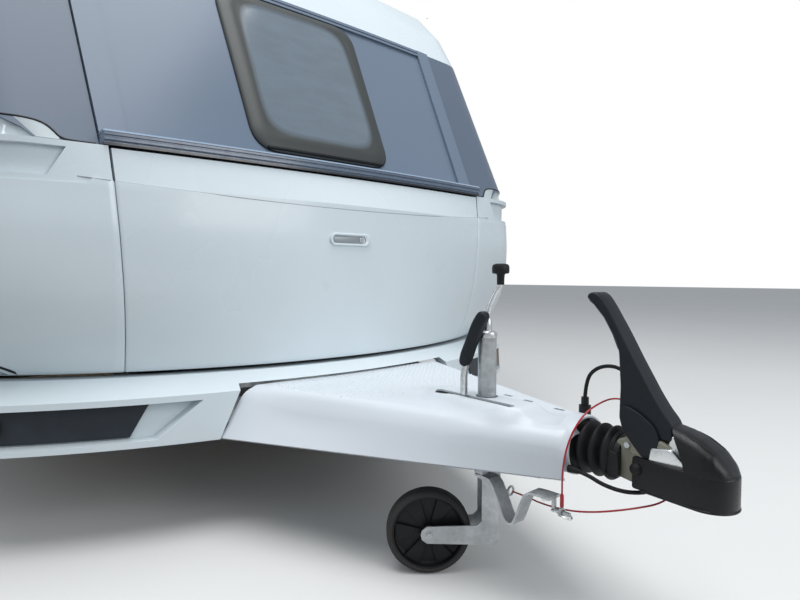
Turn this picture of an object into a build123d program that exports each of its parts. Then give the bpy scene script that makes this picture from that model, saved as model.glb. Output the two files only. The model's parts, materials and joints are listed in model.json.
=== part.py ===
"""A single-axle travel caravan, parked on its road wheels and its jockey wheel.

Millimetres. +X is forward, to the coupling; +Y is left; +Z is up.
The origin is on the ground under the middle of the whole length.
"""
import os
from math import atan2, cos, degrees, pi, radians, sin, sqrt, tan

from build123d import *

os.makedirs("parts", exist_ok=True)

# Driving dimensions of the whole vehicle
body_length = 4700.0
body_width = 2300.0
drawbar_length = 1345.0
bumper_proud = 28.0
roof_height = 2520.0
panel = 30.0
seam_gap = 7.0
trim_gap = 1.0

# Levels above the ground
skirt_height = 290.0
floor_underside = 400.0
floor_thickness = 44.0
crease_height = 430.0
strip_top = 476.0
lid_bottom = 490.0
belt_height = 1146.0
roof_edge_drop = 170.0
roof_edge = roof_height - roof_edge_drop
shoulder_height = belt_height - 111
band_bottom = belt_height + 48
band_top = roof_edge - 425

# Plan of the front and the rear
front_seam = 470.0
rear_seam = 260.0
rear_lean = 60.0
rear_cap_height = roof_edge - 300

half_width = body_width / 2
bow_span = half_width - 400
overall_length = body_length + drawbar_length + bumper_proud
nose_x = overall_length / 2
front_x = nose_x - drawbar_length
rear_x = front_x - body_length
side_front_x = front_x - front_seam
side_rear_x = rear_x + rear_seam
floor_top = floor_underside + floor_thickness
wall_inside = half_width - panel

# Running gear
axle_back = 2480.0
tyre_radius = 320.0
tyre_width = 186.0
wheel_side = half_width - 150
rim_radius = 190.0
rim_width = 150.0
arch_radius = 375.0
axle_x = front_x - axle_back

# Chassis: rails under the body, and the two arms that meet at the coupling
rail_depth = 88.0
rail_width = 45.0
rail_side = half_width - 600
arm_start_x = front_x - 330.0
arm_end_x = front_x + 960.0
arm_end_side = 62.0
rail_bottom = floor_underside - rail_depth

# What stands on the drawbar
head_z = 390.0
ball_x = front_x + 1295.0
ball_radius = 25.0
tube_x = front_x + 771.0
tube_y = -43.0


def export(part, label):
    """Name a finished piece and write it."""
    part.label = label
    export_step(part, f"parts/{label}.step")


def between(side, near, far):
    """Two distances from the middle plane as a low and a high Y on one side."""
    return sorted((side * near, side * far))


def block(low, high, mode=Mode.ADD):
    """A box between two corners, in the piece being built."""
    with Locations(tuple((a + b) / 2 for a, b in zip(low, high))):
        Box(*(b - a for a, b in zip(low, high)), mode=mode)


def post(x, y, radius, low, high, mode=Mode.ADD):
    """An upright cylinder between two heights."""
    with Locations((x, y, (low + high) / 2)):
        Cylinder(radius, high - low, mode=mode)


def peg(x, z, radius, low, high, mode=Mode.ADD):
    """A cylinder across the body between two Y values."""
    with Locations(Location((x, (low + high) / 2, z), (90, 0, 0))):
        Cylinder(radius, high - low, mode=mode)


def shaft(y, z, radius, low, high, mode=Mode.ADD):
    """A cylinder along the body between two X values."""
    with Locations(Location(((low + high) / 2, y, z), (0, 90, 0))):
        Cylinder(radius, high - low, mode=mode)


def polygon(plane, points, depth, mode=Mode.ADD):
    """A polygon on a plane, drawn out along the plane's normal."""
    with BuildSketch(plane) as outline:
        with BuildLine():
            Polyline(*points, close=True)
        make_face()
    extrude(outline.sketch, amount=depth, mode=mode)


def plate(points, low, high, mode=Mode.ADD):
    """A polygon of XZ points, drawn out across the body between two Y values."""
    polygon(Plane.XZ.offset(-high), points, high - low, mode)


def front_view(points, low, high, mode=Mode.ADD):
    """A polygon of YZ points, drawn out along the body between two X values."""
    polygon(Plane.YZ.offset(low), points, high - low, mode)


def plan_view(points, low, high, mode=Mode.ADD):
    """A polygon of XY points, drawn up between two heights."""
    polygon(Plane.XY.offset(low), points, high - low, mode)


def rounded(plane, width, height, corner, depth, mode=Mode.ADD):
    """A rounded rectangle centred on a plane's origin, drawn out along its normal."""
    with BuildSketch(plane) as outline:
        RectangleRounded(width, height, corner)
    extrude(outline.sketch, amount=depth, mode=mode)


def facing(x, y, z, out):
    """An upright plane at a point, its normal along X when out is 'x', along Y when 'y'."""
    if out == "x":
        return Plane(origin=(x, y, z), x_dir=(0, 1, 0), z_dir=(1, 0, 0))
    return Plane(origin=(x, y, z), x_dir=(-1, 0, 0), z_dir=(0, 1, 0))


# U-shaped sections: the bowed front or rear of the body with its two corners and legs


def across_plane(x, z, tilt):
    """A plane across the body: its x is the body's left, its y points out, tilt above forward."""
    turn = radians(tilt)
    return Plane(origin=(x, 0, z), x_dir=(0, 1, 0), z_dir=(sin(turn), 0, -cos(turn)))


def u_points(bow, corner, leg, inset):
    """Half of a U across the body: crown, corner arc and leg, as local points."""
    bow_radius = (bow**2 + bow_span**2) / (2 * bow)
    side = half_width - corner
    drop = bow_radius - sqrt((bow_radius - corner) ** 2 - side**2)
    turn = atan2(side, bow_radius - drop)
    middle = (turn + pi / 2) / 2
    return {
        "crown": (0, -inset),
        "tangent": ((bow_radius - inset) * sin(turn), (bow_radius - inset) * cos(turn) - bow_radius),
        "middle": (side + (corner - inset) * sin(middle), (corner - inset) * cos(middle) - drop),
        "side": (half_width - inset, -drop),
        "end": (half_width - inset, -leg),
    }


def other(point):
    """The same point on the body's other side."""
    return (-point[0], point[1])


def u_face(plane, bow, corner, leg, inset, wall):
    """A U-shaped section with a wall, or the whole face inside it when the wall is 0."""
    outer = u_points(bow, corner, leg, inset)
    inner = u_points(bow, corner, leg, inset + wall)
    with BuildSketch(plane) as section:
        with BuildLine():
            ThreePointArc(other(outer["tangent"]), outer["crown"], outer["tangent"])
            ThreePointArc(outer["tangent"], outer["middle"], outer["side"])
            Line(outer["side"], outer["end"])
            if wall:
                Line(outer["end"], inner["end"])
                Line(inner["end"], inner["side"])
                ThreePointArc(inner["side"], inner["middle"], inner["tangent"])
                ThreePointArc(inner["tangent"], inner["crown"], other(inner["tangent"]))
                ThreePointArc(other(inner["tangent"]), other(inner["middle"]), other(inner["side"]))
                Line(other(inner["side"]), other(inner["end"]))
                Line(other(inner["end"]), other(outer["end"]))
            else:
                Line(outer["end"], other(outer["end"]))
            Line(other(outer["end"]), other(outer["side"]))
            ThreePointArc(other(outer["side"]), other(outer["middle"]), other(outer["tangent"]))
        make_face()
    return section.sketch


def shell(levels, inset=0.0, wall=panel, mode=Mode.ADD):
    """A shell through a table of levels: x, z, tilt, bow, corner radius, leg."""
    sections = [
        u_face(across_plane(x, z, tilt), bow, corner, leg, inset, wall)
        for x, z, tilt, bow, corner, leg in levels
    ]
    loft(sections=sections, ruled=True, mode=mode)


def front_level(height, crown, bow, corner, back=front_seam + 60):
    """A level of the front, its crown given ahead of the gas locker's side seams."""
    return (front_x + crown, height, 0, bow, corner, crown + back)


# Levels of the white front below the belt: height, crown, bow, corner radius
lid_rise_to_shoulder = shoulder_height - lid_bottom
lower_levels = [
    front_level(lid_bottom, 79, 171, 160),
    front_level(lid_bottom + 0.13 * lid_rise_to_shoulder, 81, 136, 170),
    front_level(lid_bottom + 0.275 * lid_rise_to_shoulder, 83, 106, 182),
    front_level(lid_bottom + 0.46 * lid_rise_to_shoulder, 84, 80, 205),
    front_level(lid_bottom + 0.75 * lid_rise_to_shoulder, 84, 64, 240),
    front_level(shoulder_height, 82, 64, 250),
    front_level(belt_height, 30, 29, 250),
]

# The sloping front above the belt
front_lean = 0.48
band_crown = -44.0
band_bow = 20.0


def band_level(height):
    """A level of the sloping front above the belt."""
    share = (height - band_bottom) / (band_top - band_bottom)
    crown = band_crown - front_lean * (height - band_bottom)
    return front_level(height, crown, band_bow, 200 - 25 * share, 500 + 300 * share)


band_crown_top = band_crown - front_lean * (band_top - band_bottom)

# Arcs that carry the front and the rear over to the roof
front_turn = atan2(front_lean, 1)
front_arc_radius = (roof_height - band_top) / (1 - sin(front_turn))
cap_centre_x = front_x + band_crown_top - front_arc_radius * cos(front_turn)
cap_centre_z = roof_height - front_arc_radius
rear_turn = atan2(rear_lean, rear_cap_height - belt_height)
rear_arc_radius = (roof_height - rear_cap_height) / (1 - sin(rear_turn))
rear_centre_x = rear_x + rear_lean + rear_arc_radius * cos(rear_turn)
rear_centre_z = roof_height - rear_arc_radius
band_seam_top_x = front_x - 725.0


def cap_level(turn):
    """A level of the front roof cap, on its arc from the band up to the roof."""
    start = degrees(front_turn)
    share = (turn - start) / (90 - start)
    x = cap_centre_x + front_arc_radius * cos(radians(turn))
    z = cap_centre_z + front_arc_radius * sin(radians(turn))
    return (x, z, 90 * share, 20 - 10 * share, 175 - 55 * share, 420 - 210 * share)


def rear_cap_level(turn):
    """A level of the rear roof cap, on its arc from the rear panel up to the roof."""
    start = 180 - degrees(rear_turn)
    share = (start - turn) / (start - 90)
    x = rear_centre_x + rear_arc_radius * cos(radians(turn))
    z = rear_centre_z + rear_arc_radius * sin(radians(turn))
    return (x, z, 180 - 90 * share, 45 - 35 * share, 160 - 40 * share, 300 - 90 * share)


def side_face(grow):
    """The side wall's outline in the XZ plane, larger all round by grow."""
    with BuildSketch(Plane.XZ) as outline:
        with BuildLine():
            Line((side_front_x, floor_underside), (side_front_x, band_bottom))
            Line((side_front_x, band_bottom), (band_seam_top_x, band_top))
            ThreePointArc(
                (band_seam_top_x, band_top), (front_x - 975, roof_edge - 122), (cap_centre_x, roof_edge)
            )
            Line((cap_centre_x, roof_edge), (rear_centre_x, roof_edge))
            ThreePointArc(
                (rear_centre_x, roof_edge),
                (side_rear_x + 90, roof_edge - 120),
                (side_rear_x, rear_cap_height),
            )
            Line((side_rear_x, rear_cap_height), (side_rear_x, floor_underside))
            Line((side_rear_x, floor_underside), (side_front_x, floor_underside))
        make_face()
        if grow:
            offset(amount=grow, mode=Mode.REPLACE)
    return outline.sketch


def side_slab(low, high, grow=0.0, mode=Mode.ADD):
    """The side wall's outline between two Y values."""
    extrude(side_face(grow).moved(Location((0, high, 0))), amount=high - low, mode=mode)


def cut_sides():
    """Take away what the side walls fill."""
    side_slab(-half_width - 50, half_width + 50, mode=Mode.SUBTRACT)


# Gas locker lid: the middle of the white front, between two leaning seams
seam_bottom = half_width - 434
seam_top = half_width - 390


def seam_side(height):
    """How far out the gas locker's side seam is at a height."""
    rise = (height - lid_bottom) / (belt_height - lid_bottom)
    return seam_bottom + rise * (seam_top - seam_bottom)


def middle_zone(gap, low, high, width_at, mode):
    """What lies between two leaning seams, seen from ahead, less a gap at each."""
    corners = [
        (-width_at(low) + gap, low), (width_at(low) - gap, low),
        (width_at(high) - gap, high), (-width_at(high) + gap, high),
    ]
    front_view(corners, front_x - 900, front_x + 400, mode)


handle_z = shoulder_height - 125
handle_length = 175.0
handle_height = 44.0
handle_pocket = 6.0
handle_face_x = front_x + 84.0
with BuildPart() as gas_locker_lid:
    shell(lower_levels)
    middle_zone(seam_gap / 2, lid_bottom, belt_height - 6, seam_side, Mode.INTERSECT)
    rounded(
        facing(handle_face_x - handle_pocket, 0, handle_z, "x"),
        handle_length, handle_height, handle_height / 2 - 1, 40, Mode.SUBTRACT,
    )
export(gas_locker_lid.part, "gas_locker_lid")

with BuildPart() as locker_handle:
    rounded(
        facing(handle_face_x - handle_pocket, 0, handle_z, "x"),
        handle_length, handle_height, handle_height / 2 - 1, handle_pocket + 7,
    )
    rounded(
        facing(handle_face_x + 3, -8, handle_z, "x"), handle_length - 38, handle_height - 14, 12, 20,
        Mode.SUBTRACT,
    )
    rounded(facing(handle_face_x - 1, -8, handle_z, "x"), handle_length - 46, handle_height - 20, 10, 11)
    shaft(handle_length / 2 - 16, handle_z, 8, handle_face_x, handle_face_x + 10)
export(locker_handle.part, "locker_handle")

# Lower corners, with a grip recess in each shoulder and a shelf under the upper corners
grip_low = belt_height - 96
grip_high = belt_height - 16
grip_start = half_width - 285
grip_depth = 20.0
shelf_depth = 125.0
notch_start = half_width - 190
notch_top = belt_height + 60
rib_foot = half_width - 374
rib_head = half_width - 328
rib_inside = half_width - 450


def notch_outlines(shrink, rise):
    """What is cut from the foot of each upper corner, or the smaller riser that fills it."""
    for side in (1, -1):
        front_view(
            [
                (side * (notch_start - 50 + shrink), belt_height + rise - 2),
                (side * (notch_start + shrink), belt_height + 34),
                (side * (notch_start + 40 + shrink), notch_top - 6 - shrink),
                (side * (half_width + 20), notch_top - shrink),
                (side * (half_width + 20), belt_height + rise - 2),
            ],
            front_x - 800, front_x + 200,
        )


with BuildPart() as grip_tool:
    for side in (1, -1):
        front_view(
            [
                (side * grip_start, grip_high), (side * (half_width + 20), grip_high),
                (side * (half_width + 20), grip_low), (side * (grip_start + 45), grip_low),
            ],
            front_x - 260, front_x + 200,
        )
    shell(lower_levels, inset=grip_depth, wall=0, mode=Mode.SUBTRACT)

with BuildPart() as notch_tool:
    notch_outlines(0, -8)

with BuildPart() as notch_zone:
    notch_outlines(3, 1)

with BuildPart() as notch_risers:
    shell([band_level(belt_height - 1), band_level(notch_top)], inset=14, wall=panel - 14)
    add(notch_zone.part, mode=Mode.INTERSECT)

with BuildPart() as lower_corners:
    shell(lower_levels)
    shell([front_level(belt_height - depth, 28, 29, 250) for depth in (12, 0)], inset=1, wall=shelf_depth)
    add(notch_risers.part)
    middle_zone(-seam_gap / 2, lid_bottom - 50, belt_height + 50, seam_side, Mode.SUBTRACT)
    add(grip_tool.part, mode=Mode.SUBTRACT)
    cut_sides()
export(lower_corners.part, "lower_corners")

# The grooved rail at the belt, between the feet of the pillar ribs: height above the belt, crown
belt_rows = [(2, 34), (12, 34), (15, 44), (22, 44), (24, 40), (27, 40), (29, 44), (36, 44), (46, 30)]
with BuildPart() as belt_rail:
    shell([front_level(belt_height + rise, crown, 29, 250) for rise, crown in belt_rows], wall=95)
    block((front_x - 300, -rib_foot, belt_height), (front_x + 200, rib_foot, band_bottom), Mode.INTERSECT)
export(belt_rail.part, "belt_rail")

# The grey band with its window opening, two pillar ribs and a grooved top rail
rib_rise = 14.0
window_bottom = band_bottom + 51
window_top = band_top - 125
window_half = 264.0
window_round = 60.0
window_frame = 26.0
front_window_proud = 10.0
window_middle = (window_bottom + window_top) / 2
band_ends = [band_level(band_bottom), band_level(band_top)]


def rib_side(height):
    """The outer edge of the pillar ribs at a height."""
    return rib_foot + (height - band_bottom) / (band_top - band_bottom) * (rib_head - rib_foot)


def rib_inner(height):
    """The inner edge of the pillar ribs at a height."""
    return rib_side(height) - rib_side(band_bottom) + rib_inside


def front_opening(grow, mode):
    """The front window's outline, drawn out along X."""
    rounded(
        facing(front_x - 700, 0, window_middle, "x"),
        2 * (window_half + grow), window_top - window_bottom + 2 * grow, window_round + grow, 900, mode,
    )


with BuildPart() as rib_pair:
    shell(band_ends, inset=-rib_rise, wall=rib_rise + panel / 2)
    middle_zone(0, band_bottom, band_top, rib_side, Mode.INTERSECT)
    middle_zone(0, band_bottom - 5, band_top + 5, rib_inner, Mode.SUBTRACT)

# The rail's levels: depth below the band's top, rise above its skin
rail_rows = [(37, -2), (33, 12), (21, 12), (19, 7), (16, 7), (14, 12), (0, 12)]
with BuildPart() as top_rail:
    for (low, rise), (high, rise_above) in zip(rail_rows, rail_rows[1:]):
        sections = [
            u_face(across_plane(*level[:3]), *level[3:], -out, out + panel / 2)
            for level, out in ((band_level(band_top - low), rise), (band_level(band_top - high), rise_above))
        ]
        loft(sections=sections, ruled=True)
    middle_zone(-20, band_bottom, band_top, rib_inner, Mode.INTERSECT)

with BuildPart() as front_band:
    shell(band_ends)
    middle_zone(0, band_bottom, band_top, rib_side, Mode.INTERSECT)
    add(rib_pair.part)
    add(top_rail.part)
    front_opening(0, Mode.SUBTRACT)
export(front_band.part, "front_band")

with BuildPart() as front_window:
    shell(band_ends, inset=-front_window_proud - trim_gap, wall=front_window_proud)
    front_opening(window_frame, Mode.INTERSECT)
export(front_window.part, "front_window")

# Upper corners: grey pillars outside the ribs, cut away above the shelf's outer end
with BuildPart() as upper_corners:
    shell([band_level(belt_height + 2), band_level(band_top)])
    middle_zone(-seam_gap / 2, belt_height - 10, band_top + 10, rib_side, Mode.SUBTRACT)
    add(notch_tool.part, mode=Mode.SUBTRACT)
    cut_sides()
export(upper_corners.part, "upper_corners")

# Roof: the front cap, the flat part with its hatch opening, and the rear cap
with BuildPart() as front_roof_cap:
    shell([cap_level(turn) for turn in (degrees(front_turn), 38, 51, 64, 77, 90)])
    cut_sides()
export(front_roof_cap.part, "front_roof_cap")

hatch_x = front_x - 2050.0
hatch_length = 700.0
hatch_width = 500.0
hatch_flange = 30.0
hatch_sheet = 30.0
hatch_frame_top = roof_height + 40.0
with BuildPart() as roof_panel:
    extrude(
        u_face(across_plane(cap_centre_x, roof_height, 90), 10, 120, roof_edge_drop, 0, panel),
        amount=rear_centre_x - cap_centre_x,
    )
    block(
        (hatch_x - hatch_length / 2, -hatch_width / 2, roof_height - 100),
        (hatch_x + hatch_length / 2, hatch_width / 2, roof_height + 50), Mode.SUBTRACT,
    )
export(roof_panel.part, "roof_panel")

hatch_plane = Plane.XY.offset(roof_height).shift_origin((hatch_x, 0, roof_height))
with BuildPart() as roof_hatch_frame:
    rounded(
        hatch_plane, hatch_length + 2 * hatch_flange, hatch_width + 2 * hatch_flange, 50,
        hatch_frame_top - roof_height,
    )
    rounded(hatch_plane, hatch_length - 6, hatch_width - 6, 20, -panel - 8)
    rounded(
        hatch_plane.offset(-100), hatch_length - 2 * hatch_sheet, hatch_width - 2 * hatch_sheet, 20, 300,
        Mode.SUBTRACT,
    )
export(roof_hatch_frame.part, "roof_hatch_frame")

lid_rise = 34.0
with BuildPart() as roof_hatch_lid:
    with BuildSketch(hatch_plane.offset(hatch_frame_top - roof_height + 6)) as dome:
        RectangleRounded(hatch_length + 60, hatch_width + 60, 60)
    extrude(dome.sketch, amount=lid_rise, taper=40)
    with BuildSketch(hatch_plane.offset(hatch_frame_top - roof_height)) as hollow:
        RectangleRounded(hatch_length + 20, hatch_width + 20, 40)
    extrude(hollow.sketch, amount=lid_rise - 2, taper=40, mode=Mode.SUBTRACT)
export(roof_hatch_lid.part, "roof_hatch_lid")

with BuildPart() as rear_roof_cap:
    shell([rear_cap_level(turn) for turn in (180 - degrees(rear_turn), 158, 141, 124, 107, 90)])
    cut_sides()
export(rear_roof_cap.part, "rear_roof_cap")

# Rear: x, z, tilt, bow, corner radius, leg
rear_levels = [
    (rear_x, floor_underside, 180, 60, 180, 360),
    (rear_x, belt_height, 180, 60, 180, 360),
    (rear_x + rear_lean, rear_cap_height, 180, 45, 160, 300),
]
rear_window_bottom = belt_height + 104
rear_window_top = rear_cap_height - 250
rear_window_half = half_width - 530
rear_window_round = 70.0


def rear_opening(grow, mode):
    """The rear window's outline, drawn out along X."""
    rounded(
        facing(rear_x - 100, 0, (rear_window_bottom + rear_window_top) / 2, "x"),
        2 * (rear_window_half + grow), rear_window_top - rear_window_bottom + 2 * grow,
        rear_window_round + grow, 300, mode,
    )


with BuildPart() as rear_panel:
    shell(rear_levels)
    rear_opening(0, Mode.SUBTRACT)
    cut_sides()
export(rear_panel.part, "rear_panel")

with BuildPart() as rear_window:
    shell(rear_levels, inset=-20, wall=19)
    rear_opening(window_frame, Mode.INTERSECT)
export(rear_window.part, "rear_window")

# Rear lamps: a corner cluster on each side and a narrow one high up
cluster_low = 560.0
cluster_high = 820.0
cluster_inner = half_width - 320
cluster_outer = half_width - 40
high_lamp_bottom = rear_cap_height - 100
high_lamp_top = rear_cap_height - 75
high_lamp_half = 150.0
lamp_outlines = [
    [(side * cluster_inner, cluster_low + 30), (side * cluster_outer, cluster_low),
     (side * cluster_outer, cluster_high), (side * cluster_inner, cluster_high)]
    for side in (1, -1)
]
lamp_outlines.append(
    [
        (-high_lamp_half, high_lamp_bottom), (high_lamp_half, high_lamp_bottom),
        (high_lamp_half, high_lamp_top), (-high_lamp_half, high_lamp_top),
    ]
)
with BuildPart() as lamp_zone:
    for outline in lamp_outlines:
        front_view(outline, rear_x - 100, rear_x + 400)

with BuildPart() as rear_lamps:
    shell(rear_levels, inset=-16, wall=15)
    add(lamp_zone.part, mode=Mode.INTERSECT)
export(rear_lamps.part, "rear_lamps")

# Side windows: side, front edge and rear edge behind the front seam, bottom, top
side_window_round = 60.0
window_line = roof_edge - 590
window_sill = belt_height + 74
kitchen_sill = window_sill + 100
side_window_rows = [
    (1, 740, 1560, window_sill, window_line),
    (1, 2000, 2800, kitchen_sill, window_line),
    (1, 3250, 4100, window_sill, window_line),
    (-1, 740, 1360, window_sill, window_line),
    (-1, 2350, 2950, kitchen_sill, window_line),
    (-1, 3250, 4100, window_sill, window_line),
]
# Other openings in the side walls: front edge, rear edge, bottom, top, corner radius
door = (1480.0, 2060.0, 452.0, roof_edge - 40, 60.0)
door_glass = (1560.0, 1980.0, belt_height + 184, roof_edge - 450, 50.0)
service = (3560.0, 3960.0, 540.0, 900.0, 30.0)
door_gap = 6.0
handle_height_on_door = 1150.0


def side_plate(side, opening, grow, inner, outer, mode=Mode.ADD):
    """A rounded plate in a side wall, between two distances from the middle plane."""
    front, rear, bottom, top, corner = opening
    low, high = between(side, inner, outer)
    rounded(
        facing(front_x - (front + rear) / 2, low, (bottom + top) / 2, "y"),
        rear - front + 2 * grow, top - bottom + 2 * grow, corner + grow, high - low, mode,
    )


def arch_cut(side):
    """Take away the round opening of a wheel arch."""
    low, high = between(side, half_width - 60, half_width + 60)
    peg(axle_x, tyre_radius, arch_radius, low, high, Mode.SUBTRACT)


def side_wall(side):
    """One side wall with its windows and wheel arch cut."""
    low, high = between(side, wall_inside, half_width)
    side_slab(low, high, -trim_gap)
    for window_side, front, rear, bottom, top in side_window_rows:
        if window_side == side:
            opening = (front, rear, bottom, top, side_window_round)
            side_plate(side, opening, 0, wall_inside - 10, half_width + 10, Mode.SUBTRACT)
    arch_cut(side)


with BuildPart() as side_wall_left:
    side_wall(1)
    side_plate(1, service, 0, wall_inside - 10, half_width + 10, Mode.SUBTRACT)
export(side_wall_left.part, "side_wall_left")

with BuildPart() as side_wall_right:
    side_wall(-1)
    side_plate(-1, door, 0, wall_inside - 10, half_width + 10, Mode.SUBTRACT)
export(side_wall_right.part, "side_wall_right")

window_proud = 18.0
with BuildPart() as side_windows:
    for side, front, rear, bottom, top in side_window_rows:
        opening = (front, rear, bottom, top, side_window_round)
        side_plate(side, opening, window_frame, half_width, half_width + window_proud)
export(side_windows.part, "side_windows")

# Entrance door, hung at its front edge on two barrels
hinge_radius = 9.0
door_hinge_x = front_x - door[0]
door_hinge_y = -half_width - hinge_radius - 5
with BuildPart() as entrance_door:
    side_plate(-1, door, -door_gap, wall_inside, half_width + 4)
    side_plate(-1, door_glass, 0, wall_inside - 10, half_width + 10, Mode.SUBTRACT)
    for height in (door[2] + 248, door[3] - 260):
        block(
            (door_hinge_x - 50, -half_width - 8, height - 35),
            (door_hinge_x, -half_width - 4, height + 35),
        )
        post(door_hinge_x, door_hinge_y, hinge_radius, height - 35, height + 35)
    rounded(facing(door_hinge_x - 520, -half_width - 30, handle_height_on_door, "y"), 60, 120, 25, 26)
export(entrance_door.part, "entrance_door")

with BuildPart() as door_window:
    side_plate(-1, door_glass, 14, half_width + 4, half_width + 14)
export(door_window.part, "door_window")

with BuildPart() as service_hatch:
    side_plate(1, service, -4, half_width - 22, half_width + 3)
    peg_x = front_x - service[0]
    for height in (620.0, 820.0):
        block((peg_x - 40, half_width + 3, height - 25), (peg_x, half_width + 7, height + 25))
        post(peg_x, half_width + 9, 7, height - 25, height + 25)
export(service_hatch.part, "service_hatch")

# Awning rails: a channel round the edge of each side wall, open at the bottom
rail_half = 11.0
rail_proud = 12.0
with BuildPart() as awning_rails:
    for side in (1, -1):
        low, high = between(side, half_width, half_width + rail_proud)
        side_slab(low, high, -2)
        side_slab(low - 5, high + 5, -2 - 2 * rail_half, mode=Mode.SUBTRACT)
        low, high = between(side, half_width + rail_proud - 7, half_width + rail_proud - 2)
        side_slab(low, high, -2 - 0.7 * rail_half)
        side_slab(low, high, -2 - 1.3 * rail_half, mode=Mode.SUBTRACT)
    block((rear_x, -half_width - 100, 0), (front_x, half_width + 100, lid_bottom + 20), Mode.SUBTRACT)
export(awning_rails.part, "awning_rails")

# Front bumper: a strip that slopes out to the crease, and a face with two recesses
bumper_wall = 60.0
face_bow = 138.0
face_corner = 200.0
strip_levels = [
    front_level(strip_top, 90, 164, 165),
    front_level(crease_height, 175, face_bow, face_corner),
]
face_levels = [
    front_level(crease_height, 175, face_bow, face_corner),
    front_level(skirt_height, 186, face_bow, face_corner),
]
mouth_top = 446.0
mouth_top_half = 440.0
mouth_bottom_half = 508.0
recess_inner_top = 545.0
recess_inner_bottom = 668.0
recess_depth = 48.0
recess_top = 412.0
recess_bottom = 308.0
recess_outer = half_width - 45
inset_sheet = 8.0
lamp_side = half_width - 90
lamp_z = 360.0
lamp_radius = 36.0


def recess_outlines(shrink, inner_top, inner_bottom):
    """The slanted outlines of the two bumper recesses, drawn out along X."""
    for side in (1, -1):
        front_view(
            [
                (side * (inner_top + shrink), recess_top - shrink),
                (side * (recess_outer - shrink), recess_top - shrink),
                (side * (recess_outer - shrink), recess_bottom + shrink),
                (side * (inner_bottom + shrink), recess_bottom + shrink),
            ],
            front_x - 500, front_x + 400,
        )


with BuildPart() as recess_tool:
    recess_outlines(0, recess_inner_top, recess_inner_bottom)
    shell(face_levels, inset=recess_depth, wall=0, mode=Mode.SUBTRACT)

with BuildPart() as inset_zone:
    recess_outlines(4, recess_inner_top + 125, recess_inner_bottom + 55)

with BuildPart() as front_bumper:
    shell(strip_levels, wall=bumper_wall)
    shell(face_levels, wall=bumper_wall)
    front_view(
        [
            (-mouth_bottom_half, skirt_height - 10), (mouth_bottom_half, skirt_height - 10),
            (mouth_top_half, crease_height), (mouth_top_half - 8, mouth_top),
            (8 - mouth_top_half, mouth_top), (-mouth_top_half, crease_height),
        ],
        front_x - 600, front_x + 400, Mode.SUBTRACT,
    )
    add(recess_tool.part, mode=Mode.SUBTRACT)
    block((side_front_x - 200, -half_width - 100, 0), (side_front_x, half_width + 100, 600), Mode.SUBTRACT)
export(front_bumper.part, "front_bumper")

with BuildPart() as bumper_insets:
    shell(face_levels, inset=recess_depth - inset_sheet, wall=inset_sheet)
    add(inset_zone.part, mode=Mode.INTERSECT)
    for side in (1, -1):
        shaft(side * lamp_side, lamp_z, lamp_radius + 1, front_x - 600, front_x + 300, Mode.SUBTRACT)
export(bumper_insets.part, "bumper_insets")

# Marker lamps: a round one in each bumper inset, and ambers along the skirts
skirt_sheet = 24.0
with BuildPart() as lamp_bars:
    for side in (1, -1):
        shaft(side * lamp_side, lamp_z, lamp_radius, front_x - 600, front_x + 300)

with BuildPart() as marker_lamps:
    shell(face_levels, inset=recess_depth - 18, wall=18)
    add(lamp_bars.part, mode=Mode.INTERSECT)
    for side in (1, -1):
        skirt_face = half_width + trim_gap + skirt_sheet
        low, high = between(side, skirt_face, skirt_face + 9)
        for back in (900.0, 3300.0):
            rounded(facing(front_x - back, low, 440, "y"), 90, 34, 12, high - low)
export(marker_lamps.part, "marker_lamps")

rear_bumper_levels = [
    (rear_x, skirt_height, 180, 60, 180, 300),
    (rear_x, lid_bottom, 180, 60, 180, 300),
]
with BuildPart() as rear_bumper:
    shell(rear_bumper_levels, inset=-bumper_proud, wall=bumper_proud - trim_gap)
    block((side_rear_x, -half_width - 100, 0), (side_rear_x + 400, half_width + 100, 600), Mode.SUBTRACT)
export(rear_bumper.part, "rear_bumper")

# Side skirts, cut down under the door and round the wheels
with BuildPart() as side_skirts:
    for side in (1, -1):
        low, high = between(side, half_width + trim_gap, half_width + trim_gap + skirt_sheet)
        plate(
            [
                (side_rear_x, skirt_height), (side_front_x, skirt_height), (side_front_x, lid_bottom),
                (side_rear_x, lid_bottom),
            ],
            low, high,
        )
        arch_cut(side)
    low, high = between(-1, half_width - 10, half_width + 60)
    block(
        (front_x - door[1] - 30, low, door[2] - 12), (front_x - door[0] + 30, high, lid_bottom + 10),
        Mode.SUBTRACT,
    )
export(side_skirts.part, "side_skirts")

# Floor with its two wheel boxes, a tongue under the gas locker and one at the rear
box_half = arch_radius + 25
box_inside = half_width - 300
box_top = 2 * tyre_radius + 90
box_sheet = 12.0
locker_back = front_x - 420.0
locker_side = half_width - 460
with BuildPart() as floor_panel:
    block(
        (side_rear_x, -wall_inside + trim_gap, floor_underside),
        (side_front_x - trim_gap, wall_inside - trim_gap, floor_top),
    )
    block((side_front_x - 10, -locker_side, floor_underside), (front_x - 150, locker_side, floor_top))
    block(
        (rear_x + 125, -half_width + 270, floor_underside),
        (side_rear_x + 10, half_width - 270, floor_top),
    )
    for side in (1, -1):
        low, high = between(side, box_inside, wall_inside - trim_gap)
        block((axle_x - box_half, low, floor_underside), (axle_x + box_half, high, box_top))
        low, high = between(side, box_inside + box_sheet, wall_inside + 20)
        block(
            (axle_x - box_half + box_sheet, low, 0),
            (axle_x + box_half - box_sheet, high, box_top - box_sheet), Mode.SUBTRACT,
        )
export(floor_panel.part, "floor_panel")

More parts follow.
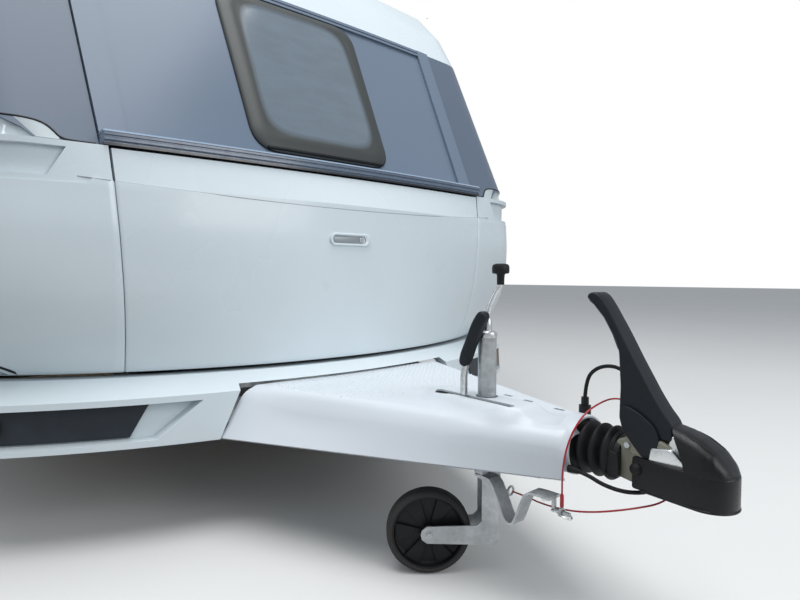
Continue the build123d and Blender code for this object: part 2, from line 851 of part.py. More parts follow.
# Gas locker: floor, back wall, two side walls and a top behind the lid
board = 18.0
locker_low = floor_top + trim_gap
locker_high = belt_height - 2
with BuildPart() as gas_locker_box:
    block((locker_back, -locker_side, locker_low), (locker_back + board, locker_side, locker_high))
    block((locker_back, -locker_side, locker_low), (front_x - 150, locker_side, locker_low + board))
    block((locker_back, -locker_side, locker_high - board), (front_x - 70, locker_side, locker_high))
    for side in (1, -1):
        low, high = between(side, locker_side, locker_side - board)
        block((locker_back, low, locker_low), (front_x - 150, high, locker_high))
export(gas_locker_box.part, "gas_locker_box")

# Furniture, as open-backed boxes: front, rear behind the front seam, low Y, high Y, bottom, top
seat_height = 800.0
bench_side = half_width - 570
wall_side = wall_inside - 20
furniture_rows = [
    (560, 1450, bench_side, wall_side, floor_top, seat_height),
    (560, 1450, -wall_side, -bench_side, floor_top, seat_height),
    (2000, 2800, half_width - 670, wall_side - 260, floor_top, 1300),
    (2900, 3250, -wall_side, -half_width + 590, floor_top, roof_edge - 150),
    (3300, 4420, 340, wall_side, floor_top, roof_edge - 130),
    (3300, 4420, -wall_side, 320, floor_top, seat_height),
]
with BuildPart() as cabinets:
    for front, rear, low_y, high_y, low, high in furniture_rows:
        block((front_x - rear, low_y, low), (front_x - front, high_y, high))
        block(
            (front_x - rear + board, low_y + board, low - 1),
            (front_x - front - board, high_y - board, high - board), Mode.SUBTRACT,
        )
export(cabinets.part, "cabinets")

# Upholstery: front, rear, low Y, high Y, bottom, top
seat_pad = 100.0
seat_top = seat_height + seat_pad
seat_back = wall_side - 95
cushion_rows = [
    (560, 1450, bench_side, seat_back - 5, seat_height, seat_top),
    (560, 1450, 5 - seat_back, -bench_side, seat_height, seat_top),
    (560, 1450, seat_back, wall_side, seat_height, seat_top + 320),
    (560, 1450, -wall_side, -seat_back, seat_height, seat_top + 320),
    (3310, 4410, 10 - wall_side, 310, seat_height, seat_height + 120),
]
with BuildPart() as cushions:
    for front, rear, low_y, high_y, low, high in cushion_rows:
        with BuildSketch(Plane.XY.offset(low)) as pad:
            with Locations((front_x - (front + rear) / 2, (low_y + high_y) / 2)):
                RectangleRounded(rear - front, high_y - low_y, 40)
        extrude(pad.sketch, amount=high - low)
export(cushions.part, "cushions")

# Chassis frame: two rails, two drawbar arms, cross members and the steadies' outriggers
cross_members = [430.0, 1500.0, 3500.0, 4300.0]
steady_backs = [720.0, 4140.0]
steady_side = half_width - 290
steady_pivot_z = 352.0
steady_half = 24.0
outrigger_depth = 24.0
axle_plate = 4.0
beam_x = axle_x + 150.0
beam_half = wheel_side - 310
beam_flat = 40.0
beam_z = rail_bottom - axle_plate - beam_flat


def arm_inner(x):
    """How far out the inner face of a drawbar arm is at a place along it."""
    slope = (rail_side - arm_end_side) / (arm_end_x - arm_start_x)
    return arm_end_side + slope * (arm_end_x - x) - rail_width / 2 * sqrt(1 + slope**2)


def member(start, end, low, high, width):
    """A straight member between two points in plan."""
    length = sqrt((end[0] - start[0]) ** 2 + (end[1] - start[1]) ** 2)
    along = ((end[0] - start[0]) / length, (end[1] - start[1]) / length)
    middle = ((start[0] + end[0]) / 2, (start[1] + end[1]) / 2)
    plane = Plane(origin=(*middle, low), x_dir=(*along, 0), z_dir=(0, 0, 1))
    with BuildSketch(plane) as outline:
        Rectangle(length, width)
    extrude(outline.sketch, amount=high - low)


with BuildPart() as chassis_frame:
    for side in (1, -1):
        member(
            (side_rear_x + 40, side * rail_side), (arm_start_x + 12, side * rail_side),
            rail_bottom, floor_underside, rail_width,
        )
        member(
            (arm_start_x, side * rail_side), (arm_end_x, side * arm_end_side),
            rail_bottom, floor_underside, rail_width,
        )
        block(
            (beam_x - 90, side * rail_side - 45, rail_bottom - axle_plate),
            (beam_x + 90, side * rail_side + 45, rail_bottom),
        )
    for back in cross_members:
        block(
            (front_x - back - 22, -rail_side, rail_bottom + 10),
            (front_x - back + 22, rail_side, floor_underside),
        )
    for back in steady_backs:
        x = front_x - back
        block(
            (x - 30, -steady_side - 40, floor_underside - outrigger_depth),
            (x + 30, steady_side + 40, floor_underside),
        )
        for side in (1, -1):
            for edge in (-1, 1):
                middle = side * steady_side + edge * (steady_half + 4)
                plate(
                    [
                        (x - 30, floor_underside - outrigger_depth),
                        (x + 30, floor_underside - outrigger_depth),
                        (x + 14, steady_pivot_z - 14), (x - 14, steady_pivot_z - 14),
                    ],
                    middle - 2, middle + 2,
                )
            low = side * steady_side - steady_half - 6
            peg(x, steady_pivot_z, 6, low, low + 2 * steady_half + 12)
    cut = Plane.XZ.offset(-1000)
    with BuildSketch(cut) as rail_holes:
        for back in (1000.0, 1250.0, 1750.0, 2000.0, 3000.0, 3250.0, 3750.0, 4000.0):
            with Locations((front_x - back, rail_bottom + rail_depth / 2)):
                Circle(22)
    extrude(rail_holes.sketch, amount=2000, mode=Mode.SUBTRACT)
export(chassis_frame.part, "chassis_frame")

# Axle: hexagonal torsion tube, and a trailing arm with its stub on each side
stub_radius = 24.0
arm_sheet = 30.0
backplate_side = wheel_side - 120
with BuildPart() as axle_beam:
    with BuildSketch(Plane.XZ.offset(-beam_half)) as hexagon:
        with Locations((beam_x, beam_z)):
            RegularPolygon(beam_flat, 6, major_radius=False)
    extrude(hexagon.sketch, amount=2 * beam_half)
export(axle_beam.part, "axle_beam")

with BuildPart() as trailing_arms:
    for side in (1, -1):
        low, high = between(side, beam_half, beam_half + arm_sheet)
        plate(
            [
                (beam_x - 8, beam_z + 40), (beam_x + 30, beam_z + 26), (beam_x + 40, beam_z),
                (beam_x + 24, beam_z - 34), (beam_x - 10, beam_z - 40), (axle_x + 10, tyre_radius - 34),
                (axle_x - 26, tyre_radius - 22), (axle_x - 34, tyre_radius), (axle_x - 18, tyre_radius + 30),
                (axle_x + 14, tyre_radius + 32),
            ],
            low, high,
        )
        low, high = between(side, beam_half + arm_sheet - 1, backplate_side)
        peg(axle_x, tyre_radius, 34, low, high)
        low, high = between(side, backplate_side - 1, backplate_side + 5)
        peg(axle_x, tyre_radius, 120, low, high)
        low, high = between(side, backplate_side, wheel_side + 8)
        peg(axle_x, tyre_radius, stub_radius, low, high)
export(trailing_arms.part, "trailing_arms")

# Road wheels. Profiles are pairs: out from the wheel's middle, distance from its axis
half_tyre = tyre_width / 2
half_rim = rim_width / 2
tyre_profile = [
    (-half_rim + 4, rim_radius + 1), (-half_tyre, tyre_radius - 74), (-half_tyre + 3, tyre_radius - 22),
    (-half_tyre + 24, tyre_radius), (half_tyre - 24, tyre_radius), (half_tyre - 3, tyre_radius - 22),
    (half_tyre, tyre_radius - 74), (half_rim - 4, rim_radius + 1),
]
rim_profile = [
    (-half_rim, rim_radius), (-half_rim, rim_radius - 13), (-24, 158), (18, 158),
    (half_rim, rim_radius - 13), (half_rim, rim_radius), (20, 165), (-26, 165),
]
disc_profile = [
    (-2, 159), (12, 159), (30, 134), (30, 88), (14, 72), (12, 36), (46, 33), (50, 0), (12, 0),
    (9, stub_radius + 0.05), (-2, stub_radius + 0.05), (20, 90), (20, 128),
]
drum_profile = [
    (3, stub_radius + 0.05), (3, 90), (-14, 124), (-108, 124), (-108, 112), (-22, 112),
    (-12, 50), (-60, 46), (-60, stub_radius + 0.05),
]
slot_count = 10
slot_ring = 112.0


def turned(centre, side, profile, mode=Mode.ADD):
    """A profile turned about a wheel's axis, which is along Y."""
    with BuildSketch(Plane(origin=centre, x_dir=(0, side, 0), z_dir=(1, 0, 0))) as outline:
        with BuildLine():
            Polyline(*profile, close=True)
        make_face()
    revolve(outline.sketch, axis=Axis(centre, (0, side, 0)), mode=mode)


for side, word in ((1, "left"), (-1, "right")):
    hub = (axle_x, side * wheel_side, tyre_radius)
    with BuildPart() as road_tyre:
        turned(hub, side, tyre_profile)
    export(road_tyre.part, f"tyre_{word}")
    with BuildPart() as road_wheel:
        turned(hub, side, rim_profile)
        turned(hub, side, disc_profile)
        with BuildSketch(Plane(origin=hub, x_dir=(1, 0, 0), z_dir=(0, side, 0)).offset(-8)) as slots:
            with PolarLocations(slot_ring, slot_count):
                Rectangle(30, 22)
        extrude(slots.sketch, amount=60, mode=Mode.SUBTRACT)
        turned(hub, side, drum_profile)
    export(road_wheel.part, f"wheel_{word}")

# Drawbar cover: a tapering hood with a raised pad, open below
cover_rear_x = front_x + 118.0
cover_nose_x = front_x + 1035.0
cover_bottom = 288.0
cover_lift = 38.0
cover_crease = 395.0
cover_crown = 438.0
cover_nose_half = 86.0
cover_sheet = 5.0
pad_top = 466.0
slot_y = -84.0
slot_x = front_x + 755.0
slot_length = 270.0
slot_width = 26.0
nose_hole = 64.0
vent_slots = [(722, 104), (801, 92), (912, 74)]
# Heights of the cover: height, half width at the rear, half width at the nose, nose set back
cover_rows = [
    (cover_bottom, 500, 86, 0),
    (cover_crease, 425, 86, 0),
    (cover_crown, 380, 62, 14),
]
# The raised pad round the lever: its foot and its top, ahead of the front and left of the middle
pad_foot = [
    (520, -55), (600, -132), (800, -143), (905, -104), (938, -62), (938, -14), (905, 22), (560, 22),
]
pad_head = [
    (560, -64), (615, -112), (800, -126), (893, -101), (912, -68), (912, -26), (885, 4), (590, 4),
]


def cover_form(inset, mode):
    """The cover's outside, or its inside when inset."""
    sections = []
    for height, rear_half, nose_half, back in cover_rows:
        level = height - (inset if height > cover_bottom else 10 * bool(inset))
        with BuildSketch(Plane.XY.offset(level)) as section:
            with BuildLine():
                Polyline(
                    (cover_rear_x, -rear_half + inset), (cover_nose_x - inset - back, -nose_half + inset),
                    (cover_nose_x - inset - back, nose_half - inset), (cover_rear_x, rear_half - inset),
                    close=True,
                )
            make_face()
        sections.append(section.sketch)
    loft(sections=sections, ruled=True, mode=mode)


def pad_form(inset, mode):
    """The pad's outside, or its inside when inset."""
    sections = []
    for points, level in ((pad_foot, cover_crown - 20 - inset), (pad_head, pad_top - inset)):
        with BuildSketch(Plane.XY.offset(level)) as section:
            with BuildLine():
                Polyline(*[(front_x + x, y) for x, y in points], close=True)
            make_face()
            if inset:
                offset(amount=-inset, kind=Kind.INTERSECTION, mode=Mode.REPLACE)
        sections.append(section.sketch)
    loft(sections=sections, ruled=True, mode=mode)


lead_start = (front_x + 1043, -72, 352)
plug_x = front_x + 1002
plug_y = 46.0
plug_top = 490.0
with BuildPart() as drawbar_cover:
    cover_form(0, Mode.ADD)
    pad_form(0, Mode.ADD)
    cover_form(cover_sheet, Mode.SUBTRACT)
    pad_form(cover_sheet, Mode.SUBTRACT)
    plate(
        [
            (cover_rear_x - 10, cover_bottom - 10), (cover_nose_x + 20, cover_bottom - 10),
            (cover_nose_x + 20, cover_bottom + cover_lift), (cover_rear_x - 10, cover_bottom),
        ],
        -600, 600, Mode.SUBTRACT,
    )
    shaft(0, head_z, nose_hole, cover_nose_x - 60, cover_nose_x + 10, Mode.SUBTRACT)
    with BuildSketch(Plane.XY.offset(cover_crease - 40)) as slot:
        with Locations((slot_x, slot_y)):
            SlotOverall(slot_length, slot_width)
        with Locations((tube_x, tube_y)):
            Circle(27)
        for ahead, left in vent_slots:
            with Locations((front_x + ahead, left)):
                RectangleRounded(24, 9, 2)
    extrude(slot.sketch, amount=120, mode=Mode.SUBTRACT)
    shaft(lead_start[1], lead_start[2], 9, cover_nose_x - 2, lead_start[0])
export(drawbar_cover.part, "drawbar_cover")

# Overrun device: saddle plate on the arms, cast tube, bellows and coupling head
saddle_back = front_x + 818.0
bellows_start = front_x + 1006.0
bellows_end = front_x + 1120.0
bellows_folds = 4
with BuildPart() as overrun_housing:
    shaft(0, head_z, 34, saddle_back, bellows_start)
    plan_view(
        [
            (saddle_back, -108), (front_x + 950, -60), (front_x + 950, 60), (saddle_back, 108),
        ],
        floor_underside, floor_underside + 10,
    )
export(overrun_housing.part, "overrun_housing")

with BuildPart() as bellows:
    fold = (bellows_end - bellows_start) / bellows_folds
    crests = [(bellows_start, head_z + 42)]
    for turn in range(bellows_folds):
        crests += [
            (bellows_start + (turn + 0.35) * fold, head_z + 60),
            (bellows_start + (turn + 0.65) * fold, head_z + 60),
            (bellows_start + (turn + 1) * fold, head_z + 42),
        ]
    with BuildSketch(Plane.XZ) as pleats:
        with BuildLine():
            Polyline(*crests, (bellows_end, head_z + 25), (bellows_start, head_z + 25), close=True)
        make_face()
    revolve(pleats.sketch, axis=Axis((0, 0, head_z), (1, 0, 0)))
export(bellows.part, "bellows")

socket_top = head_z - 4
with BuildPart() as coupling_head:
    with BuildSketch(Plane.XY.offset(head_z - 54)) as outline:
        with BuildLine():
            nose_points = [(ball_x - 95, 40), (ball_x - 20, 52), (ball_x + 8, 48)]
            Polyline((bellows_end + 16, -34), *[(x, -y) for x, y in nose_points])
            ThreePointArc((ball_x + 8, -48), (nose_x, 0), (ball_x + 8, 48))
            Polyline(*reversed(nose_points), (bellows_end + 16, 34), (bellows_end + 16, -34))
        make_face()
    extrude(outline.sketch, amount=142)
    plate(
        [
            (bellows_end + 10, head_z - 30), (ball_x - 90, head_z - 34), (ball_x - 60, head_z - 50),
            (ball_x + 30, head_z - 52), (nose_x + 5, head_z - 44), (nose_x + 5, head_z + 8),
            (ball_x + 32, head_z + 48), (ball_x - 22, head_z + 78), (ball_x - 51, head_z + 86),
            (ball_x - 51, head_z + 54), (ball_x - 110, head_z + 52), (bellows_end + 10, head_z + 32),
        ],
        -80, 80, Mode.INTERSECT,
    )
    shaft(0, head_z, 25, bellows_end, bellows_end + 60)
    post(ball_x, 0, ball_radius + 0.05, head_z - 70, socket_top, Mode.SUBTRACT)
export(coupling_head.part, "coupling_head")

lever_half = 25.0
# Ahead of the front, above the middle of the head
lever_outline = [
    (1142, 57), (1240, 57), (1238, 92), (1216, 118), (1196, 148), (1176, 182), (1156, 216), (1126, 270),
    (1092, 326), (1076, 348), (1062, 355), (1048, 351), (1045, 341), (1056, 333), (1088, 298),
    (1110, 260), (1122, 230), (1127, 154), (1125, 82),
]
with BuildPart() as coupling_lever:
    plate([(front_x + x, head_z + z) for x, z in lever_outline], -lever_half, lever_half)
export(coupling_lever.part, "coupling_lever")

# Handbrake: a pivot block on the right arm, the lever and its grip
pivot_x = front_x + 722.0
with BuildPart() as handbrake_lever:
    plan_view(
        [
            (pivot_x - 22, -arm_inner(pivot_x - 22)), (pivot_x + 22, -arm_inner(pivot_x + 22)),
            (pivot_x + 22, slot_y + 7), (pivot_x - 22, slot_y + 7),
        ],
        346, 384,
    )
    plate(
        [
            (front_x + 706, 350), (front_x + 742, 350), (front_x + 752, 560), (front_x + 734, 560),
        ],
        slot_y - 7, slot_y + 7,
    )
    plate(
        [
            (front_x + 726, 540), (front_x + 756, 532), (front_x + 788, 672), (front_x + 780, 686),
            (front_x + 760, 690),
        ],
        slot_y - 13, slot_y + 13,
    )
export(handbrake_lever.part, "handbrake_lever")

# Bent strip under the right arm that carries the cable guide and the clip
strip_sheet = 6.0
strip_low, strip_high = -135.0, -95.0
strip_line = [(813, 284), (848, 290), (908, 197), (931, 197), (967, 288), (1030, 291)]
with BuildPart() as strip_bracket:
    upper = [(front_x + x, z + strip_sheet) for x, z in reversed(strip_line)]
    plate([(front_x + x, z) for x, z in strip_line] + upper, strip_low, strip_high)
    block((front_x + 814, -135, 285), (front_x + 838, -115, rail_bottom))
    block((front_x + 862, -102, 232), (front_x + 872, -52, 262))
    block((front_x + 1016, -108, 264), (front_x + 1024, -98, 294))
    block((front_x + 1016, -108, 258), (front_x + 1060, -98, 266))
export(strip_bracket.part, "strip_bracket")

# Jockey wheel: clamped outer tube, crank, sliding leg, swivelling fork and wheel
outer_tube = 24.0
inner_tube = 20.95
tube_bottom = 345.0
tube_top = 621.0
fork_top = 300.0
jockey_radius = 111.0
jockey_half = 25.0
trail = (-95.0, -121.0)
trail_length = sqrt(trail[0] ** 2 + trail[1] ** 2)
trail_out = (trail[0] / trail_length, trail[1] / trail_length, 0)
trail_side = (-trail_out[1], trail_out[0], 0)
with BuildPart() as jockey_tube:
    post(tube_x, tube_y, outer_tube, tube_bottom, tube_top)
    post(tube_x, tube_y, outer_tube + 9, 352, 392)
    plan_view(
        [
            (tube_x - 22, -arm_inner(tube_x - 22)), (tube_x + 22, -arm_inner(tube_x + 22)),
            (tube_x + 22, tube_y), (tube_x - 22, tube_y),
        ],
        354, 390,
    )
    post(tube_x, tube_y, 21, tube_bottom - 1, tube_top - 8, Mode.SUBTRACT)
export(jockey_tube.part, "jockey_tube")

knob_x = tube_x + 22
knob_y = tube_y + 25
with BuildPart() as jockey_crank:
    post(tube_x, tube_y, outer_tube + 2, tube_top, tube_top + 16)
    post(tube_x, tube_y, 12, tube_top + 15, tube_top + 40)
    post(tube_x, tube_y, 7, tube_top + 39, tube_top + 70)
    rod_foot = Vector(tube_x, tube_y, tube_top + 66)
    rod_head = Vector(knob_x, knob_y, tube_top + 142)
    with BuildSketch(Plane(origin=rod_foot, z_dir=rod_head - rod_foot)) as rod:
        Circle(7)
    extrude(rod.sketch, amount=(rod_head - rod_foot).length)
    post(knob_x, knob_y, 15, tube_top + 136, tube_top + 172)
    post(knob_x, knob_y, 22, tube_top + 168, tube_top + 190)
export(jockey_crank.part, "jockey_crank")

with BuildPart() as jockey_leg:
    post(tube_x, tube_y, inner_tube, fork_top - 28, 560)
    post(tube_x, tube_y, 24, fork_top, fork_top + 4)
export(jockey_leg.part, "jockey_leg")

fork_plane = Plane(origin=(tube_x, tube_y, 0), x_dir=trail_out, z_dir=[-v for v in trail_side])
fork_sheet = 4.0
fork_inside = jockey_half + 5
swivel_block = 38.0
strap_half = 22.0
strap_back = -26.0
strap_front = 18.0
with BuildPart() as jockey_fork:
    # Two bent straps: down from the swivel block, then level to the wheel's axle
    polygon(
        fork_plane.offset(-fork_inside - fork_sheet),
        [
            (-30, fork_top - 4), (30, fork_top - 4), (30, fork_top - swivel_block),
            (strap_front, fork_top - swivel_block - 8), (strap_front, jockey_radius + strap_half + 14),
            (strap_front + 12, jockey_radius + strap_half + 2),
            (trail_length + 6, jockey_radius + strap_half),
            (trail_length + 19, jockey_radius + 12), (trail_length + 22, jockey_radius),
            (trail_length + 19, jockey_radius - 12), (trail_length + 6, jockey_radius - strap_half),
            (strap_back + 12, jockey_radius - strap_half - 6), (strap_back, jockey_radius - strap_half + 6),
            (strap_back, fork_top - swivel_block - 8), (-30, fork_top - swivel_block),
        ],
        2 * (fork_inside + fork_sheet),
    )
    polygon(
        fork_plane.offset(-fork_inside),
        [
            (strap_back + fork_sheet, 60), (trail_length + 60, 60),
            (trail_length + 60, fork_top - swivel_block), (strap_back + fork_sheet, fork_top - swivel_block),
        ],
        2 * fork_inside, Mode.SUBTRACT,
    )
    post(tube_x, tube_y, inner_tube + 0.05, fork_top - swivel_block + 8, fork_top + 10, Mode.SUBTRACT)
    wheel_axle = fork_plane.shift_origin((tube_x, tube_y, jockey_radius))
    with BuildSketch(wheel_axle.offset(-fork_inside - 8)) as bolt:
        with Locations((trail_length, 0)):
            Circle(7)
    extrude(bolt.sketch, amount=2 * fork_inside + 16)
export(jockey_fork.part, "jockey_fork")

jockey_profile = [
    (-14, 7.05), (-14, 26), (-5, 34), (-5, 74), (-jockey_half, 84),
    (-jockey_half + 4, jockey_radius - 7), (-jockey_half + 12, jockey_radius),
    (jockey_half - 12, jockey_radius), (jockey_half - 4, jockey_radius - 7), (jockey_half, 84),
    (5, 74), (5, 34), (14, 26), (14, 7.05),
]
jockey_centre = (tube_x + trail[0], tube_y + trail[1], jockey_radius)
with BuildPart() as jockey_wheel:
    axle_plane = Plane(origin=jockey_centre, x_dir=trail_side, z_dir=trail_out)
    with BuildSketch(axle_plane) as outline:
        with BuildLine():
            Polyline(*jockey_profile, close=True)
        make_face()
    revolve(outline.sketch, axis=Axis(jockey_centre, trail_side))
export(jockey_wheel.part, "jockey_wheel")

# Corner steadies, folded up under the floor: name, distance behind the front, side, way they lie
steady_length = 400.0
steady_sheet = 4.0
steady_rows = [
    ("steady_front_left", steady_backs[0], 1, -1),
    ("steady_front_right", steady_backs[0], -1, -1),
    ("steady_rear_left", steady_backs[1], 1, 1),
    ("steady_rear_right", steady_backs[1], -1, 1),
]
for name, back, side, way in steady_rows:
    x = front_x - back
    low = side * steady_side - steady_half
    high = side * steady_side + steady_half
    with BuildPart() as steady:
        plate(
            [
                (x - way * 16, steady_pivot_z - 14), (x - way * 16, steady_pivot_z + 12),
                (x + way * steady_length, steady_pivot_z + 12),
                (x + way * steady_length, steady_pivot_z - 8),
            ],
            low, high,
        )
        block(
            (min(x - way * 40, x + way * (steady_length - 20)), low + steady_sheet, steady_pivot_z - 30),
            (max(x - way * 40, x + way * (steady_length - 20)), high - steady_sheet, steady_pivot_z + 8),
            Mode.SUBTRACT,
        )
        peg(x, steady_pivot_z, 6.05, low - 1, high + 1, Mode.SUBTRACT)
        foot = x + way * steady_length
        block(
            (min(foot, foot + way * 6), low - 20, steady_pivot_z - 26),
            (max(foot, foot + way * 6), high + 20, steady_pivot_z + 14),
        )
    export(steady.part, name)

# Cords: routes from end to end, relative to the gas locker's side seams
lead_diameter = 9.0
lead_route = [
    (1043, -72, 352), (1076, -72, 352), (1116, -63, 334), (1156, -36, 323), (1188, 8, 325),
    (1200, 46, 345), (1190, 68, 386), (1162, 74, 432), (1138, 73, 480), (1118, 69, 526),
    (1098, 66, 558), (1063, 62, 572), (1026, 56, 563), (1002, 50, 534), (1002, 46, plug_top),
]
cable_diameter = 4.0
cable_route = [
    (1040, -103, 274), (1040, -103, 312), (1050, -118, 360), (1056, -115, 408), (1066, -102, 452),
    (1076, -72, 486), (1084, -30, 501), (1086, 16, 505), (1092, 58, 498), (1108, 90, 472),
    (1140, 101, 434), (1178, 98, 394), (1208, 80, 354), (1218, 44, 322), (1204, 4, 305),
    (1174, -32, 296), (1136, -56, 284), (1092, -65, 269), (1048, -68, 257), (1004, -68, 250),
    (958, -66, 246), (914, -62, 247), (872, -62, 247),
]


def cord(route, diameter):
    """A tube along straight runs joined by the largest arcs that they allow."""
    points = [Vector(front_x + x, y, z) for x, y, z in route]
    radii = []
    for before, here, after in zip(points, points[1:], points[2:]):
        turn = (here - before).get_angle(after - here)
        shorter = min((here - before).length, (after - here).length)
        radii.append(0.45 * shorter / tan(radians(turn) / 2))
    print("radii", [round(radius) for radius in radii])
    with BuildLine() as path:
        FilletPolyline(*points, radius=radii)
    start = Plane(origin=points[0], z_dir=points[1] - points[0])
    with BuildSketch(start) as section:
        Circle(diameter / 2)
    sweep(section.sketch, path=path.line)


with BuildPart() as power_lead:
    cord(lead_route, lead_diameter)
export(power_lead.part, "power_lead")

with BuildPart() as power_plug:
    post(plug_x, plug_y, 14, cover_crown, plug_top - 20)
    post(plug_x, plug_y, 9, plug_top - 21, plug_top - 0.5)
export(power_plug.part, "power_plug")

with BuildPart() as breakaway_cable:
    cord(cable_route, cable_diameter)
export(breakaway_cable.part, "breakaway_cable")

# The ring at the end of the cable, round the foot of the bracket's bent peg
hook_x = front_x + cable_route[0][0]
hook_y = cable_route[0][1]
hook_z = 262.0
hook_ring = 10.0
with BuildPart() as breakaway_hook:
    shaft(hook_y, hook_z, hook_ring, hook_x - 3, hook_x + 3)
    shaft(hook_y, hook_z, hook_ring - 3, hook_x - 4, hook_x + 4, Mode.SUBTRACT)
    post(hook_x, hook_y, 2.5, hook_z + hook_ring - 2, cable_route[0][2])
export(breakaway_hook.part, "breakaway_hook")
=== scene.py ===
"""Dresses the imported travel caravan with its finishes, fittings, cords and soft goods."""

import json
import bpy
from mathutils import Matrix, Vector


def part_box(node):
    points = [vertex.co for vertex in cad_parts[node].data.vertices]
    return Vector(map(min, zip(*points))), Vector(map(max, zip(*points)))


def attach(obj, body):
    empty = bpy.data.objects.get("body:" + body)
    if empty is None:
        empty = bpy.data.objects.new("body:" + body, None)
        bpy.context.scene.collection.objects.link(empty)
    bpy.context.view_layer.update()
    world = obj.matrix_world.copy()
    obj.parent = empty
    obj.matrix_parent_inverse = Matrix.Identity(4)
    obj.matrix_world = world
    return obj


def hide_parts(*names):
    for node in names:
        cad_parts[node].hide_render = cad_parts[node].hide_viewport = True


bl_info = {
    "name": "Travel Caravan",
    "version": (1, 0, 0),
    "blender": (4, 5, 0),
    "location": "View3D > Sidebar > Caravan",
    "description": "Finishes, fittings, cords and soft goods of a single-axle travel caravan",
    "category": "Object",
}

from math import asin, copysign, cos, exp, pi, radians, sin, sqrt

import bmesh
import bpy
from bpy.props import FloatProperty, FloatVectorProperty, IntProperty, PointerProperty
from mathutils import Matrix, Vector, bvhtree

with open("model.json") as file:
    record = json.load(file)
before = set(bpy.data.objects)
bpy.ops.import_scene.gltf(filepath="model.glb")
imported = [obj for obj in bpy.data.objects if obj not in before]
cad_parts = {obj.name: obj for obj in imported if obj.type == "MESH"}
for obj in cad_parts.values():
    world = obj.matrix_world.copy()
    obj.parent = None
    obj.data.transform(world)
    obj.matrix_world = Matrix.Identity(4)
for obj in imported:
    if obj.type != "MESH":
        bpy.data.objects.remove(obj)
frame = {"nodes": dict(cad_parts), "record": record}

# The foremost point of the body's plan on the centre line. Lengths forward of it are positive.
FRONT = 1.6915

SIDES = ((1, "left"), (-1, "right"))
HALF_WIDTH = 1.15

# The axis of the jockey wheel's tube, ahead and left, and the height of the coupling's axis
TUBE = (0.771, -0.043)
AXIS_UP = 0.39

# A start for lines that look for a skin from behind the body
BEHIND = -9.0


# Shader trees


class Signal:
    """A socket of a shader tree, which takes part in sums as a number does."""

    def __init__(self, tree, socket):
        self.tree = tree
        self.socket = socket

    def node(self, kind, feeds, output=0, **settings):
        """Adds a node of any kind, feeds its inputs and gives one of its outputs."""
        made = self.tree.nodes.new(kind)
        for name, value in settings.items():
            setattr(made, name, value)
        for key, value in feeds.items():
            if isinstance(value, Signal):
                self.tree.links.new(value.socket, made.inputs[key])
            else:
                made.inputs[key].default_value = value
        return Signal(self.tree, made.outputs[output])

    def maths(self, operation, *values):
        feeds = dict(enumerate(values))
        return self.node("ShaderNodeMath", feeds, operation=operation)

    def __add__(self, other):
        return self.maths("ADD", self, other)

    def __sub__(self, other):
        return self.maths("SUBTRACT", self, other)

    def __rsub__(self, other):
        return self.maths("SUBTRACT", other, self)

    def __mul__(self, other):
        return self.maths("MULTIPLY", self, other)

    def __truediv__(self, other):
        return self.maths("DIVIDE", self, other)

    def __pow__(self, other):
        return self.maths("POWER", self, other)

    def __gt__(self, other):
        return self.maths("GREATER_THAN", self, other)

    def __lt__(self, other):
        return self.maths("LESS_THAN", self, other)

    def split(self):
        """The three parts of a place, each as its own signal."""
        parts = self.node("ShaderNodeSeparateXYZ", {0: self}).socket.node
        return [Signal(self.tree, part) for part in parts.outputs]

    def stretch(self, x, y, z):
        """A place with each of its axes scaled, for grain that runs one way."""
        return self.node("ShaderNodeVectorMath", {0: self, 1: (x, y, z)}, operation="MULTIPLY")

    def noise(self, scale, detail=2.0, roughness=0.5):
        feeds = {"Vector": self, "Scale": scale, "Detail": detail, "Roughness": roughness}
        return self.node("ShaderNodeTexNoise", feeds)

    def patches(self, scale, detail, roughness, start, end):
        """Noise held to 0 below start and to 1 above end."""
        return self.noise(scale, detail, roughness).between(0.0, 1.0, start, end)

    def cells(self, scale, output="Distance"):
        return self.node("ShaderNodeTexVoronoi", {"Vector": self, "Scale": scale}, output)

    def flakes(self, scale):
        """A random grey for each cell."""
        return self.node("ShaderNodeSeparateColor", {0: self.cells(scale, "Color")})

    def sine(self):
        return self.maths("SINE", self)

    def capped(self):
        return self.maths("MINIMUM", self, 1.0)

    def between(self, low, high, start=0.0, end=1.0):
        """The signal's run from start to end, laid out from low to high and held there."""
        feeds = {"Value": self, 1: start, 2: end, 3: low, 4: high}
        return self.node("ShaderNodeMapRange", feeds)

    def tint(self, low, high):
        """The colour low where the signal is 0 and high where it is 1."""
        feeds = {"Factor": self, 6: shade(low), 7: shade(high)}
        return self.node("ShaderNodeMix", feeds, 2, data_type="RGBA")

    def bump(self, depth, strength=1.0):
        """The surface normal that this height gives, with its full height in metres."""
        return self.node("ShaderNodeBump", {"Height": self, "Distance": depth, "Strength": strength})


def shade(colour):
    """A colour with the alpha that a socket wants, or a signal as it is."""
    return colour if isinstance(colour, Signal) else (*tuple(colour)[:3], 1.0)


def darker(colour, amount):
    return tuple(part * amount for part in tuple(colour)[:3])


def make_finish(name, paint, given=(), constants=()):
    """A material whose varying inputs come from paint and whose constants sit on the shader."""
    material = bpy.data.materials.new(name)
    material.use_nodes = True
    tree = material.node_tree
    shader = tree.nodes["Principled BSDF"]
    for key, value in dict(constants).items():
        shader.inputs[key].default_value = value
    place = Signal(tree, tree.nodes.new("ShaderNodeTexCoord").outputs["Object"])
    for key, signal in paint(place, *given).items():
        tree.links.new(signal.socket, shader.inputs[key])
    return material


